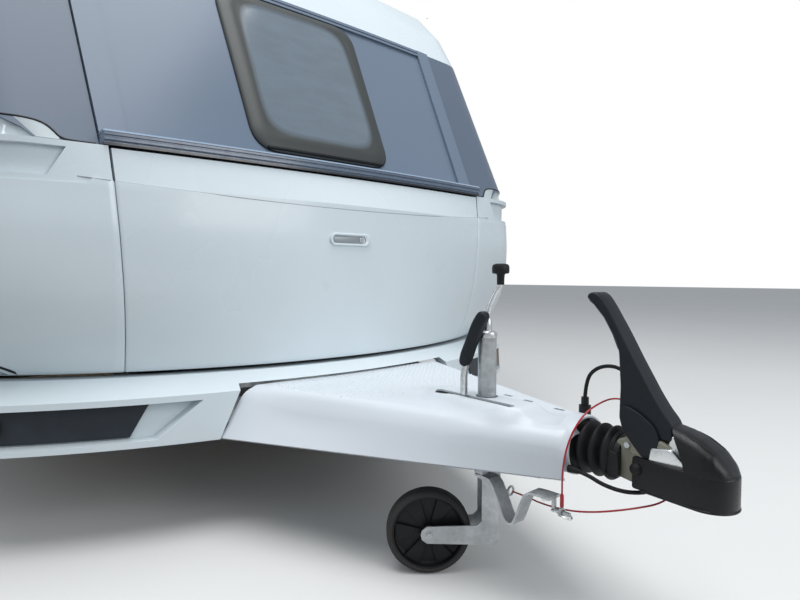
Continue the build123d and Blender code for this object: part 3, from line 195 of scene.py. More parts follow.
def moulding(place, colour, polish):
    """Smooth moulded plastic under a clear film: hardly any texture, a little road dust low down."""
    height = place.split()[2]
    dust = height.between(0.55, 0.0, 0.25, 1.1) * place.noise(3.0, 6.0).between(0.2, 1.0, 0.35, 0.7)
    cloud = place.noise(1.7, 3.0).between(0.0, 1.0, 0.3, 0.7)
    clean = cloud.tint(darker(colour, 0.965), colour)
    grime = tuple(part * 0.62 for part in (colour[0], colour[1] * 0.985, colour[2] * 0.94))
    peel = place.noise(260.0, 1.0) * 0.6 + place.noise(18.0, 2.0)
    return {
        "Base Color": (dust * 0.35).tint(clean, grime),
        "Roughness": cloud.between(polish, polish + 0.07) + dust * 0.2,
        "Normal": peel.bump(0.00018),
    }


def sheet_metal(place, colour):
    """Coated sheet: flat, with the faint long waves of a bonded wall."""
    height = place.split()[2]
    dust = height.between(0.5, 0.0, 0.4, 1.3) * place.noise(2.4, 6.0)
    waves = place.stretch(0.7, 0.7, 2.2).noise(2.0, 2.0)
    clean = waves.tint(darker(colour, 0.97), colour)
    return {
        "Base Color": (dust * 0.4).tint(clean, darker(colour, 0.6)),
        "Roughness": waves.between(0.22, 0.32) + dust * 0.2,
        "Normal": waves.bump(0.0009),
    }


def dark_plastic(place, colour, grain, polish):
    """Moulded plastic with a fine leather-like grain, greyer where it has weathered."""
    skin = place.cells(grain)
    chalk = place.patches(7.0, 8.0, 0.65, 0.45, 0.75)
    faded = tuple(part * 1.4 + 0.003 for part in colour)
    return {
        "Base Color": chalk.tint(colour, faded),
        "Roughness": (chalk * 0.2 + skin * 0.15).between(polish, polish + 0.3, 0.0, 0.35),
        "Normal": skin.bump(0.00025, 0.7),
    }


def rubber(place, colour):
    """Soft black rubber with a dry bloom in its dips."""
    bloom = place.patches(22.0, 8.0, 0.7, 0.4, 0.8)
    pores = place.noise(700.0, 2.0)
    return {
        "Base Color": bloom.tint(colour, tuple(part + 0.006 for part in colour)),
        "Roughness": bloom.between(0.5, 0.78),
        "Normal": (pores * 0.4 + bloom * 0.6).bump(0.0003, 0.6),
    }


def galvanised(place):
    """Hot-dip zinc: large spangled crystals, dull runs and a few grey stains."""
    spangle = place.flakes(70.0)
    edge = place.cells(70.0)
    stain = place.patches(9.0, 8.0, 0.6, 0.42, 0.72)
    crystal = (spangle * 0.6 + edge * 0.4).tint((0.36, 0.385, 0.4), (0.56, 0.585, 0.6))
    return {
        "Base Color": (stain * 0.55).tint(crystal, (0.27, 0.275, 0.27)),
        "Roughness": (spangle * 0.25 + stain * 0.25).between(0.34, 0.66, 0.0, 0.5),
        "Normal": (edge * 0.3 + stain).bump(0.0004, 0.5),
        "Metallic": stain.between(0.95, 0.6),
    }


def bright_zinc(place):
    """Plated steel, bright with a soft drawn grain and a few dull specks."""
    grain = place.stretch(40.0, 40.0, 900.0).noise(1.0, 3.0)
    dull = place.patches(30.0, 6.0, 0.7, 0.5, 0.8)
    return {
        "Base Color": dull.tint((0.7, 0.715, 0.72), (0.45, 0.45, 0.43)),
        "Roughness": (grain * 0.3 + dull * 0.5).between(0.2, 0.5, 0.0, 0.8),
        "Normal": grain.bump(0.00005, 0.4),
    }


def cast_paint(place):
    """Dark paint over a sand casting, worn to metal on its raised specks."""
    sand = place.noise(420.0, 4.0, 0.7)
    wear = place.patches(38.0, 8.0, 0.75, 0.62, 0.7)
    return {
        "Base Color": wear.tint((0.235, 0.23, 0.18), (0.4, 0.39, 0.34)),
        "Roughness": wear.between(0.5, 0.36) + sand * 0.12,
        "Normal": sand.bump(0.0006, 0.8),
        "Metallic": wear.between(0.0, 0.85),
    }


def alloy(place):
    """Silver wheel lacquer, with brake dust gathered in its corners."""
    flake = place.flakes(2200.0)
    dust = place.patches(26.0, 8.0, 0.7, 0.45, 0.8)
    silver = flake.tint((0.44, 0.45, 0.46), (0.56, 0.57, 0.58))
    return {
        "Base Color": (dust * 0.5).tint(silver, (0.11, 0.095, 0.08)),
        "Roughness": (dust * 0.6 + flake * 0.1).between(0.28, 0.6),
        "Metallic": dust.between(0.85, 0.3),
    }


def tyre_rubber(place):
    """Road tyre: brown-grey dust on the side wall and scuffs on the tread."""
    dust = place.patches(14.0, 8.0, 0.65, 0.42, 0.75)
    grit = place.noise(600.0, 3.0, 0.6)
    return {
        "Base Color": (dust * 0.7).tint((0.012, 0.012, 0.013), (0.05, 0.046, 0.04)),
        "Roughness": dust.between(0.62, 0.9),
        "Normal": grit.bump(0.0005, 0.6),
    }


def acrylic(place, colour):
    """Tinted acrylic: clean and glossy, with the faintest ripple of its blown sheet."""
    ripple = place.noise(3.2, 2.0)
    smear = place.stretch(1.0, 1.0, 3.0).patches(11.0, 6.0, 0.7, 0.5, 0.8)
    return {
        "Base Color": smear.tint(colour, tuple(part * 1.15 + 0.004 for part in colour)),
        "Roughness": smear.between(0.045, 0.12),
        "Normal": ripple.bump(0.0012, 0.6),
    }


def blown_pane(place, colour):
    """A blown pane: dark olive, and lighter over the middle of the front window's outer face."""
    across, left, up = place.split()
    half_wide, half_tall, middle = 0.235, 0.275, 1.565
    wide = (left / half_wide) ** 6.0
    tall = ((up - middle) / half_tall) ** 6.0
    inner = (wide + tall).between(1.0, 0.0, 0.75, 1.35) * (across > 0.0)
    ripple = place.noise(3.2, 2.0)
    haze = place.stretch(1.0, 1.0, 3.0).noise(9.0, 6.0, 0.6).between(0.9, 1.0, 0.4, 0.7)
    return {
        "Base Color": (inner * haze).tint((0.034, 0.04, 0.04), colour),
        "Roughness": inner.between(0.5, 0.14, 0.0, 1.0),
        "Normal": ripple.bump(0.0008, 0.5),
    }


def lens(place, colour):
    """Ribbed lamp plastic: a row of flutes under a smooth gloss."""
    flutes = (place.split()[2] * 900.0).sine()
    depth = place.noise(40.0, 2.0)
    return {
        "Base Color": (depth * 0.5 + flutes * 0.25 + 0.25).tint(darker(colour, 0.6), colour),
        "Roughness": depth.between(0.08, 0.16),
        "Normal": flutes.bump(0.0006, 0.5),
    }


def board(place):
    """Light furniture board with an oak-like printed grain along its length."""
    bend = place.noise(1.4, 3.0)
    grain = (place.stretch(1.2, 9.0, 9.0)).noise(6.0, 8.0, 0.62)
    fine = place.stretch(8.0, 90.0, 90.0).noise(6.0, 4.0, 0.6)
    warm = (grain * 0.75 + fine * 0.25).between(0.0, 1.0, 0.36, 0.64).tint((0.4, 0.29, 0.185), (0.58, 0.46, 0.33))
    return {
        "Base Color": (bend * 0.25).tint(warm, (0.36, 0.255, 0.165)),
        "Roughness": fine.between(0.38, 0.52),
        "Normal": fine.bump(0.0002, 0.4),
    }


def upholstery(place):
    """Woven seat cloth: a tight basket weave with small flecks."""
    across, along, up = place.split()
    warp = (across * 1600.0).sine()
    weft = (along * 1600.0).sine()
    rise = (up * 1600.0).sine()
    weave = warp * weft * 0.4 + weft * rise * 0.3 + warp * rise * 0.3
    fleck = place.patches(420.0, 4.0, 0.8, 0.52, 0.7)
    cloud = place.noise(5.0, 3.0)
    cloth = (cloud * 0.6 + weave * 0.4).tint((0.1, 0.105, 0.115), (0.19, 0.195, 0.205))
    return {
        "Base Color": (fleck * 0.6).tint(cloth, (0.34, 0.34, 0.33)),
        "Roughness": weave.between(0.8, 0.95),
        "Normal": weave.bump(0.0006, 0.8),
    }


def sheathed(place, colour):
    """Smooth cable sheath, a little scuffed along its length."""
    scuff = place.patches(60.0, 6.0, 0.7, 0.5, 0.75)
    return {
        "Base Color": scuff.tint(colour, tuple(part * 0.7 + 0.03 for part in colour)),
        "Roughness": scuff.between(0.32, 0.6),
        "Normal": scuff.bump(0.0002, 0.5),
    }


def belt_paint(place):
    """The belt rail: a lavender-grey face, a dark foot that is the double seal together with painted shade under the
    rail, a thin line of painted shade under the bead, and a painted highlight on the bead, a lit copy of the face
    colour.
    """
    height = place.split()[2]
    dirt = place.patches(30.0, 6.0, 0.7, 0.45, 0.8)
    face = dirt.tint((0.125, 0.168, 0.235), (0.1, 0.13, 0.18))
    seal_top, shade_line_foot, bead_foot = 1.155, 1.1815, 1.185
    foot = height < seal_top
    # Painted shade: a thin dark line just under the bead.
    line = (height > shade_line_foot) * (height < bead_foot)
    # Painted highlight: the bead, lighter in a lit copy of the face colour.
    highlit_bead = height > bead_foot
    # The dark foot is the seal with painted shade under the rail, in the same colour as the line.
    shown = (foot + line).capped().tint(face, (0.018, 0.022, 0.03))
    return {"Base Color": highlit_bead.tint(shown, (0.26, 0.35, 0.47)), "Roughness": dirt.between(0.26, 0.42)}


def make_palette(colours):
    """Every finish of the caravan: its paint, what the paint is given and the shader's constants."""
    polymer = {"Specular IOR Level": 0.4, "Coat Roughness": 0.1, "Coat Weight": 0.2}
    dull = {"Specular IOR Level": 0.28}
    clear = {"IOR": 1.49, "Coat Weight": 0.4, "Coat Roughness": 0.03, "Alpha": 0.86}
    lamp = {"Coat Weight": 0.8}
    finishes = {
        "white_moulding": (moulding, (colours.white, 0.24), polymer),
        "white_sheet": (sheet_metal, (colours.sheet,), polymer),
        "grey_band": (moulding, (colours.band, 0.22), dull),
        "corner_grey": (moulding, (colours.corner, 0.3), dull),
        "dark_trim": (dark_plastic, (colours.trim, 900.0, 0.34), dull),
        "tinted_acrylic": (acrylic, (colours.window,), clear),
        "galvanised": (galvanised,),
        "bright_zinc": (bright_zinc, (), {"Metallic": 1.0}),
        "cast": (cast_paint,),
        "black_plastic": (dark_plastic, ((0.006, 0.006, 0.007), 700.0, 0.4), dull),
        "black_rubber": (rubber, ((0.005, 0.005, 0.006),), dull),
        "tyre": (tyre_rubber,),
        "rim": (alloy, (), {"Coat Weight": 0.5, "Coat Roughness": 0.1}),
        "wood": (board, (), {"Coat Weight": 0.15}),
        "fabric": (upholstery, (), {"Sheen Weight": 0.25, "Sheen Roughness": 0.5}),
        "rail": (bright_zinc, (), {"Metallic": 0.9}),
        "lamp_red": (lens, ((0.42, 0.008, 0.006),), lamp),
        "lamp_amber": (lens, ((0.62, 0.21, 0.012),), lamp),
        "lamp_clear": (lens, ((0.66, 0.68, 0.7),), lamp),
        "front_pane": (blown_pane, (colours.pane,)),
        "cover_white": (moulding, (colours.cover, 0.3), polymer),
        "silver_paint": (moulding, ((0.3, 0.33, 0.35), 0.3), {"Metallic": 0.3}),
        # Painted shade: the white moulding darkened, for the notch under each upper corner panel.
        "notch_shade_paint": (moulding, ((0.47, 0.53, 0.55), 0.35), dull),
        "stripe_film": (moulding, ((0.22, 0.25, 0.28), 0.25)),
        # Painted shade: a darker copy of the white moulding, for the thin lines in the groove.
        "groove_shade": (rubber, ((0.26, 0.29, 0.31),)),
        "belt": (belt_paint, (), {"Coat Weight": 0.3, "Coat Roughness": 0.1}),
        "black_gloss": (dark_plastic, ((0.003, 0.0035, 0.0045), 900.0, 0.2), {"Specular IOR Level": 0.3}),
        "lever_black": (dark_plastic, ((0.006, 0.009, 0.013), 800.0, 0.36), dull),
        "grey_rubber": (rubber, ((0.1, 0.115, 0.13),)),
        "wedge_plastic": (dark_plastic, ((0.004, 0.0045, 0.006), 700.0, 0.42), dull),
        "piping": (upholstery, (), {"Sheen Weight": 0.1}),
        "red_cable": (sheathed, ((0.42, 0.012, 0.02),)),
    }
    return {name: make_finish(name, *finish) for name, finish in finishes.items()}


PALETTE = {}

# The record's slot for each finish that has none of its own
SLOTS = {
    "bright_zinc": "galvanised",
    "front_pane": "tinted_acrylic",
    "cover_white": "white_moulding",
    "silver_paint": "dark_trim",
    "notch_shade_paint": "white_moulding",
    "stripe_film": "black_plastic",
    "groove_shade": "dark_trim",
    "black_gloss": "black_plastic",
    "lever_black": "black_plastic",
    "grey_rubber": "black_rubber",
    "wedge_plastic": "black_plastic",
    "piping": "fabric",
    "lamp_clear": "lamp_red",
}


def give_finish(obj, name):
    """Puts one finish on every face of an object."""
    if not PALETTE:
        PALETTE.update(make_palette(bpy.context.scene.caravan_colours))
    obj.data.materials.clear()
    obj.data.materials.append(PALETTE[name])


# Shapes


def at(ahead, left, up):
    """A place in metres from the foremost point of the body's plan."""
    return Vector((FRONT + ahead, left, up))


def metres(*rows):
    """A table typed in millimetres, in metres."""
    return [tuple(part / 1000 for part in row) for row in rows]


def link(name, data):
    """A new object in the scene for a mesh, curve, light or camera."""
    made = bpy.data.objects.new(name, data)
    bpy.context.scene.collection.objects.link(made)
    return made


def settled(holder):
    """An object's mesh with its modifiers applied."""
    bpy.context.view_layer.update()
    return bpy.data.meshes.new_from_object(holder.evaluated_get(bpy.context.evaluated_depsgraph_get()))


def make_mesh(name, points, faces):
    mesh = bpy.data.meshes.new(name)
    mesh.from_pydata([tuple(point) for point in points], [], faces)
    return mesh


def mend(mesh):
    """Joins a mesh's doubled points and turns its faces outwards."""
    form = bmesh.new()
    form.from_mesh(mesh)
    bmesh.ops.remove_doubles(form, verts=form.verts, dist=1e-6)
    bmesh.ops.recalc_face_normals(form, faces=form.faces)
    form.to_mesh(mesh)
    form.free()
    return mesh


def add_object(name, mesh, finish, body="caravan", crease=35.0):
    """Links a finished mesh, smooth but for its sharp edges, with its finish and its body."""
    mend(mesh)
    mesh.shade_smooth()
    mesh.set_sharp_from_angle(angle=radians(crease))
    piece = link(name, mesh)
    give_finish(piece, finish)
    SLOTS.get(finish, finish)
    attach(piece, body)
    return piece


def merged(forms):
    """Several lists of points and faces as one."""
    points = []
    faces = []
    for more_points, more_faces in forms:
        faces += [[len(points) + index for index in face] for face in more_faces]
        points += more_points
    return points, faces


def gather(name, forms, finish, body="caravan", crease=35.0):
    """One piece from several lists of points and faces."""
    return add_object(name, make_mesh(name, *merged(forms)), finish, body, crease)


def soften(outline, radius, steps=4):
    """A closed outline with each of its corners turned into a curve."""
    soft = []
    for index, corner in enumerate(outline):
        here = Vector(corner)
        before = Vector(outline[index - 1])
        after = Vector(outline[(index + 1) % len(outline)])
        reach_in = min(radius, (before - here).length * 0.45)
        reach_out = min(radius, (after - here).length * 0.45)
        start = here + (before - here).normalized() * reach_in
        end = here + (after - here).normalized() * reach_out
        for step in range(steps + 1):
            share = step / steps
            soft.append(start * (1 - share) ** 2 + here * 2 * share * (1 - share) + end * share**2)
    return soft


def rounded_box(width, height, radius, steps=6):
    """The outline of a rounded rectangle about its middle."""
    outline = []
    for turn, (side, up) in enumerate(((1, 1), (-1, 1), (-1, -1), (1, -1))):
        for step in range(steps + 1):
            angle = pi / 2 * (turn + step / steps)
            across = side * (width / 2 - radius) + radius * cos(angle)
            outline.append(Vector((across, up * (height / 2 - radius) + radius * sin(angle))))
    return outline


def shifted(outline, across, up):
    return [point + Vector((across, up)) for point in outline]


def disc(radius, steps=32):
    """The outline of a circle."""
    turns = [2 * pi * step / steps for step in range(steps)]
    return [Vector((radius * cos(turn), radius * sin(turn))) for turn in turns]


def slab(outline, low, high, place, rounding=0.0, steps=3):
    """A plate between two levels, its rims rounded; place turns each of its points."""
    levels = [(low, 0.0), (high, 0.0)]
    if rounding:
        arcs = [pi / 2 * step / steps for step in range(steps + 1)]
        rise = [(low + rounding * (1 - sin(arc)), rounding * (1 - cos(arc))) for arc in arcs[::-1]]
        levels = rise + [(high - (level - low), inset) for level, inset in rise[::-1]]
    middle = sum(outline, Vector((0.0, 0.0))) / len(outline)
    turn = sum(a.x * b.y - b.x * a.y for a, b in zip(outline, outline[1:] + outline[:1]))
    way = 1 if turn > 0 else -1
    rings = []
    for level, inset in levels:
        ring = []
        for index, corner in enumerate(outline):
            before = (corner - outline[index - 1]).normalized()
            after = (outline[(index + 1) % len(outline)] - corner).normalized()
            along = before + after
            inward = Vector((-along.y, along.x)).normalized() * way if along.length > 1e-6 else middle - corner
            ring.append(place(*(corner + inward * inset), level))
        rings.append(ring)
    return capped_form(rings)


def round_faces(count, rows, closed=False):
    """Faces round each pair of neighbouring rings of points."""
    faces = []
    for row in range(rows if closed else rows - 1):
        below = row * count
        above = (row + 1) % rows * count
        for index in range(count):
            after = (index + 1) % count
            faces.append([below + index, below + after, above + after, above + index])
    return faces


def capped_form(rings):
    """A closed form through rings of points, with a flat face at either end."""
    count = len(rings[0])
    points = [point for ring in rings for point in ring]
    ends = [list(range(count))[::-1], [len(points) - count + index for index in range(count)]]
    return points, ends + round_faces(count, len(rings))


def band_of(rings):
    """A closed skin through rings of points, from the last one back to the first."""
    return [point for ring in rings for point in ring], round_faces(len(rings[0]), len(rings), True)


def hoops(profile, place, steps):
    """Rings of points about an axis, from pairs of distance along it and radius."""
    turns = [2 * pi * step / steps for step in range(steps)]
    return [
        [place(along, radius * cos(turn), radius * sin(turn)) for turn in turns] for along, radius in profile
    ]


def turned(profile, place, steps=48):
    """A turned form: pairs of distance along the axis and radius, and place for its points."""
    return capped_form(hoops(profile, place, steps))


def skin(grid, depth):
    """A closed sheet behind a grid of surface points; depth is a vector, or gives one for a row and column."""
    rows = len(grid)
    columns = len(grid[0])
    points = [point for row in grid for point in row]
    for row, line in enumerate(grid):
        points += [point + (depth(row, column) if callable(depth) else depth) for column, point in enumerate(line)]
    back = rows * columns
    faces = []
    for row in range(rows - 1):
        for column in range(columns - 1):
            corner = row * columns + column
            faces.append([corner, corner + 1, corner + columns + 1, corner + columns])
            faces.append([back + corner, back + corner + columns, back + corner + columns + 1, back + corner + 1])
    edge = list(range(columns))
    edge += [row * columns + columns - 1 for row in range(1, rows)]
    edge += [(rows - 1) * columns + column for column in range(columns - 2, -1, -1)]
    edge += [row * columns for row in range(rows - 2, 0, -1)]
    for index, corner in enumerate(edge):
        after = edge[(index + 1) % len(edge)]
        faces.append([after, corner, back + corner, back + after])
    return points, faces


def tube(name, route, radius, kind="NURBS", closed=False, steps=8):
    """A round bar along a curve, as a curve object."""
    curve = bpy.data.curves.new(name, "CURVE")
    curve.dimensions = "3D"
    curve.bevel_depth = radius
    curve.bevel_resolution = 5
    curve.use_fill_caps = True
    spline = curve.splines.new(kind)
    spline.points.add(len(route) - 1)
    for point, place in zip(spline.points, route):
        point.co = (*place, 1.0)
    if kind == "NURBS":
        spline.order_u = 3
        spline.use_endpoint_u = not closed
    spline.use_cyclic_u = closed
    spline.resolution_u = steps
    return link(name, curve)


def add_bar(name, route, radius, finish, body="caravan", kind="NURBS", closed=False):
    """A bar or seal along a curve, as a mesh."""
    holder = tube(name, route, radius, kind, closed)
    mesh = settled(holder)
    bpy.data.objects.remove(holder)
    return add_object(name, mesh, finish, body, 50.0)


def add_cord(name, route, radius, finish):
    """A free cord: one smooth curve whose control points are the route's, in metres."""
    cord = tube(name, [at(*spot) for spot in route], radius, steps=10)
    give_finish(cord, finish)
    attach(cord, "caravan")
    return cord


def run_through(pairs, value, eased=False):
    """What a table of pairs gives between its rows, along straight or eased runs."""
    if value <= pairs[0][0]:
        return pairs[0][1]
    for (start, low), (end, high) in zip(pairs, pairs[1:]):
        if value <= end:
            share = (value - start) / (end - start)
            return low + (high - low) * (share * share * (3 - 2 * share) if eased else share)
    return pairs[-1][1]


# Geometry trees


class Tree:
    """A geometry tree with named inputs and a finish, whose result is made a plain mesh."""

    def __init__(self, name, **inputs):
        self.group = bpy.data.node_groups.new(name, "GeometryNodeTree")
        self.group.interface.new_socket("Geometry", in_out="INPUT", socket_type="NodeSocketGeometry")
        self.keys = {}
        for key, kind in {**inputs, "Finish": "Material"}.items():
            made = self.group.interface.new_socket(key, in_out="INPUT", socket_type=f"NodeSocket{kind}")
            self.keys[key] = made.identifier
        self.group.interface.new_socket("Geometry", in_out="OUTPUT", socket_type="NodeSocketGeometry")
        self.start = self.group.nodes.new("NodeGroupInput")
        self.end = self.group.nodes.new("NodeGroupOutput")

    def take(self, key):
        return Signal(self.group, self.start.outputs[key])

    def node(self, kind, feeds=None, output=0, **settings):
        return Signal(self.group, None).node(kind, feeds or {}, output, **settings)

    def copies(self, points, stamp, **more):
        return self.node("GeometryNodeInstanceOnPoints", {"Points": points, "Instance": stamp, **more})

    def form_of(self, key):
        """The geometry of the object that an input names."""
        return self.node("GeometryNodeObjectInfo", {"Object": self.take(key)}, "Geometry")

    def close(self, result):
        """Ends the tree with real geometry and its material."""
        real = self.node("GeometryNodeRealizeInstances", {0: result})
        painted = self.node("GeometryNodeSetMaterial", {0: real, "Material": self.take("Finish")})
        self.group.links.new(painted.socket, self.end.inputs[0])

    def make(self, name, **values):
        """The tree's result for these inputs, as a plain mesh."""
        holder = link(name, bpy.data.meshes.new(name))
        modifier = holder.modifiers.new(name, "NODES")
        modifier.node_group = self.group
        for key, value in values.items():
            modifier[self.keys[key]] = value
        mesh = settled(holder)
        holder.modifiers.remove(modifier)
        bpy.data.objects.remove(holder)
        return mesh


def ring_tree():
    """Copies of a piece on a ring in the XY plane, each turned to face out."""
    tree = Tree(
        "ring_of_pieces", Piece="Object", Count="Int", Radius="Float",
    )
    ring = tree.node("GeometryNodeMeshCircle", {"Vertices": tree.take("Count"), "Radius": tree.take("Radius")})
    step = tree.node("GeometryNodeInputIndex")
    turn = step * (2 * pi) / tree.take("Count")
    turned_by = tree.node("ShaderNodeCombineXYZ", {"Z": turn})
    stamp = tree.form_of("Piece")
    tree.close(tree.copies(ring, stamp, Rotation=turned_by))
    return tree


def row_tree():
    """Copies of a piece along a path, a spacing apart, each turned along it."""
    tree = Tree(
        "row_of_pieces", Piece="Object", Path="Object", Spacing="Float",
    )
    path = tree.form_of("Path")
    points = tree.node(
        "GeometryNodeCurveToPoints", {"Curve": path, "Length": tree.take("Spacing")}, mode="LENGTH",
    )
    turned_by = Signal(tree.group, points.socket.node.outputs["Rotation"])
    stamp = tree.form_of("Piece")
    tree.close(tree.copies(points, stamp, Rotation=turned_by))
    return tree


def stud_tree():
    """Low studs in rows on what lies below a flat rectangle."""
    tree = Tree(
        "studs_on_surface", Surface="Object", Length="Float", Width="Float",
        Rows="Int", Columns="Int", Middle="Vector", Size="Float",
    )
    grid = tree.node(
        "GeometryNodeMeshGrid",
        {
            "Size X": tree.take("Length"), "Size Y": tree.take("Width"),
            "Vertices X": tree.take("Rows"), "Vertices Y": tree.take("Columns"),
        },
    )
    moved = tree.node("GeometryNodeTransform", {"Geometry": grid, "Translation": tree.take("Middle")})
    surface = tree.form_of("Surface")
    place = tree.node("GeometryNodeInputPosition")
    fall = tree.node(
        "GeometryNodeRaycast",
        {"Target Geometry": surface, "Source Position": place, "Ray Direction": (0.0, 0.0, -1.0), "Ray Length": 0.2},
        "Hit Position",
    )
    found = Signal(tree.group, fall.socket.node.outputs["Is Hit"])
    slope = Signal(tree.group, fall.socket.node.outputs["Hit Normal"])
    faces_up = slope.split()[2] > 0.97
    landed = tree.node("GeometryNodeSetPosition", {"Geometry": moved, "Selection": found, "Position": fall})
    kept = found * faces_up
    dome = tree.node("GeometryNodeMeshIcoSphere", {"Radius": tree.take("Size"), "Subdivisions": 2})
    flat = tree.node("ShaderNodeCombineXYZ", {"X": 1.0, "Y": 1.0, "Z": 0.55})
    tree.close(tree.copies(landed, dome, Selection=kept, Scale=flat))
    return tree


def add_stamp(forms):
    """A helper that a geometry tree copies, removed once the copies are real."""
    return link("stamp", mend(make_mesh("stamp", *merged(forms))))


def add_ring(name, forms, count, radius, matrix, finish, body, crease=40.0):
    """Copies of a form in a ring about a wheel's axis, made real as one piece."""
    stamp = add_stamp(forms)
    mesh = ring_tree().make(name, Piece=stamp, Count=count, Radius=max(radius, 1e-5), Finish=PALETTE[finish])
    bpy.data.objects.remove(stamp)
    mesh.transform(matrix)
    add_object(name, mesh, finish, body, crease)


def as_drawn(along, across, level):
    return Vector((along, across, level))


def upright(ahead, left):
    """Places a turned form on an upright axis."""
    return lambda along, a, b: at(ahead + a, left + b, along)


def level_axis(left, up):
    """Places a turned form on an axis that runs along the body."""
    return lambda along, a, b: at(along, left + a, up + b)


def on_axle(matrix, off=0.0):
    """Places a turned form on a wheel's axle, or on a line beside it."""
    return lambda along, a, b: matrix @ Vector((off + a, b, along))


def lengthwise(ahead, up, across):
    """Outlines drawn ahead and up, given their thickness across the body."""
    return at(ahead, across, up)


def seen_from_ahead(left, up, ahead):
    """Outlines drawn left and up, given their thickness along the body."""
    return at(ahead, left, up)


def seen_from_above(ahead, left, up):
    """Outlines drawn ahead and left, given their thickness upwards."""
    return at(ahead, left, up)


def bow_back(left, bow, span=0.75):
    """How far a bowed front lies behind its crown at a distance from the middle."""
    radius = (bow * bow + span * span) / (2 * bow)
    return radius - sqrt(max(radius * radius - left * left, 0.0))


def band_face(left, up):
    """How far ahead the grey band's skin is."""
    return -0.044 - 0.48 * (up - 1.194) - bow_back(left, 0.02)


def on_band(proud):
    """Puts outlines drawn left and up on the grey band, standing out from it."""

    def place(left, up, level):
        return at(band_face(left, up) + (proud + level) * 0.9, left, up + (proud + level) * 0.43)

    return place


# The moulded front's plan by height: up, crown, bow over its middle, radius of its corners
FRONT_LEVELS = metres(
    (490, 79, 171, 160), (561, 81, 136, 170), (640, 83, 106, 182), (741, 84, 80, 205), (899, 84, 64, 240),
    (1035, 82, 64, 250),
)

# Where the thin groove runs under the shoulder: left, up
FRONT_GROOVE = metres(
    (0, 1017), (170, 1018.5), (340, 1023), (467, 1028.5), (600, 1036.5), (762.5, 1046.5), (800, 1049), (842, 1052.5),
)


def smooth_level(up):
    """Crown, bow and corner of the moulded front at a height, on a smooth line through its levels."""
    last = len(FRONT_LEVELS) - 1
    if up >= FRONT_LEVELS[last][0]:
        share = (up - FRONT_LEVELS[last][0]) / 0.111
        return [low + (high - low) * share for low, high in zip(FRONT_LEVELS[last][1:], (0.03, 0.029, 0.25))]
    index = 0
    while index < last - 1 and up > FRONT_LEVELS[index + 1][0]:
        index += 1
    start, end = FRONT_LEVELS[index], FRONT_LEVELS[index + 1]
    before, after = FRONT_LEVELS[max(index - 1, 0)], FRONT_LEVELS[min(index + 2, last)]
    step = end[0] - start[0]
    share = (up - start[0]) / step
    sizes = []
    for low, high, lower, higher in zip(start[1:], end[1:], before[1:], after[1:]):
        rise = (high - lower) / (end[0] - before[0]) * step
        fall = (higher - low) / (after[0] - start[0]) * step
        sizes.append(
            low * (1 + 2 * share) * (1 - share) ** 2 + rise * share * (1 - share) ** 2
            + high * share**2 * (3 - 2 * share) + fall * share**2 * (share - 1)
        )
    return sizes


def skin_of(*names):
    """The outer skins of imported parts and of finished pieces, to lay thin pieces on."""
    meshes = [(frame["nodes"].get(name) or bpy.data.objects[name]).data for name in names]
    return bvhtree.BVHTree.FromPolygons(*merged(
        ([vertex.co.copy() for vertex in mesh.vertices], [list(face.vertices) for face in mesh.polygons])
        for mesh in meshes
    ))


def land(skins, start, way, lift=0.0):
    """Where a line first meets a skin, lifted off it by a little."""
    spot, normal = skins.ray_cast(start, way)[:2]
    if spot is None:
        raise RuntimeError(f"No skin lies ahead of {tuple(start)}")
    if normal is None:
        return spot - way.normalized() * lift
    return spot + normal * (lift if normal.dot(way) < 0 else -lift)


# Settings


def colour_setting(name, description, default):
    return FloatVectorProperty(
        name=name, description=description, default=default, size=3, min=0.0, max=1.0, subtype="COLOR"
    )


def length_setting(name, description, default, low, high):
    return FloatProperty(name=name, description=description, default=default, min=low, max=high, unit="LENGTH")


def count_setting(name, description, default, low, high):
    return IntProperty(name=name, description=description, default=default, min=low, max=high)


class CaravanColours(bpy.types.PropertyGroup):
    """Colours of the caravan's visible finishes."""

    white: colour_setting(
        "White mouldings", "Colour of the moulded front, rear and roof caps", (0.685, 0.765, 0.805)
    )
    sheet: colour_setting("White walls", "Colour of the coated side walls, door and roof", (0.72, 0.755, 0.79))
    band: colour_setting("Grey band", "Colour of the glossy band round the front window", (0.15, 0.195, 0.26))
    corner: colour_setting("Grey corners", "Colour of the upper corner panels", (0.108, 0.142, 0.195))
    trim: colour_setting("Dark trim", "Colour of the bumper insets and dark trim", (0.022, 0.028, 0.036))
    window: colour_setting("Tinted plastic", "Colour of plain tinted acrylic", (0.035, 0.048, 0.065))
    pane: colour_setting("Windows", "Colour of the windows' blown acrylic", (0.15, 0.19, 0.23))
    cover: colour_setting("Drawbar cover", "Colour of the moulded drawbar cover", (0.7, 0.75, 0.8))


class CaravanSizes(bpy.types.PropertyGroup):
    """Sizes and counts of the caravan's cords and repeated pieces."""

    lead: length_setting("Power lead", "Thickness of the black lead to the towing car", 0.009, 0.006, 0.012)
    cable: length_setting("Breakaway cable", "Thickness of the red cable that pulls the brake on", 0.004, 0.003, 0.006)
    gaiter_folds: count_setting("Gaiter folds", "Folds of the rubber gaiter behind the coupling", 4, 2, 8)
    tread_blocks: count_setting("Tread blocks", "Blocks round each road tyre", 64, 24, 90)
    screw_spacing: length_setting("Rail screws", "Distance between the screws of the awning rails", 0.15, 0.05, 0.5)
    stud: length_setting("Cover studs", "Radius of the non-slip studs of the drawbar cover", 0.0034, 0.001, 0.006)


# Operators


class CARAVAN_OT_body_finishes(bpy.types.Operator):
    """Gives every shown part of the frame its finish"""

    bl_idname = "caravan.body_finishes"
    bl_label = "Finishes"

    def execute(self, context):
        slots = {part["node"]: part["material_slot"] for part in frame["record"]["subparts"]}
        special = {
            "upper_corners": "corner_grey",
            "belt_rail": "belt",
            "gas_locker_box": "dark_trim",
            "jockey_crank": "bright_zinc",
            "jockey_leg": "bright_zinc",
        }
        for name, node in frame["nodes"].items():
            give_finish(node, special.get(name, slots[name]))
        return {"FINISHED"}


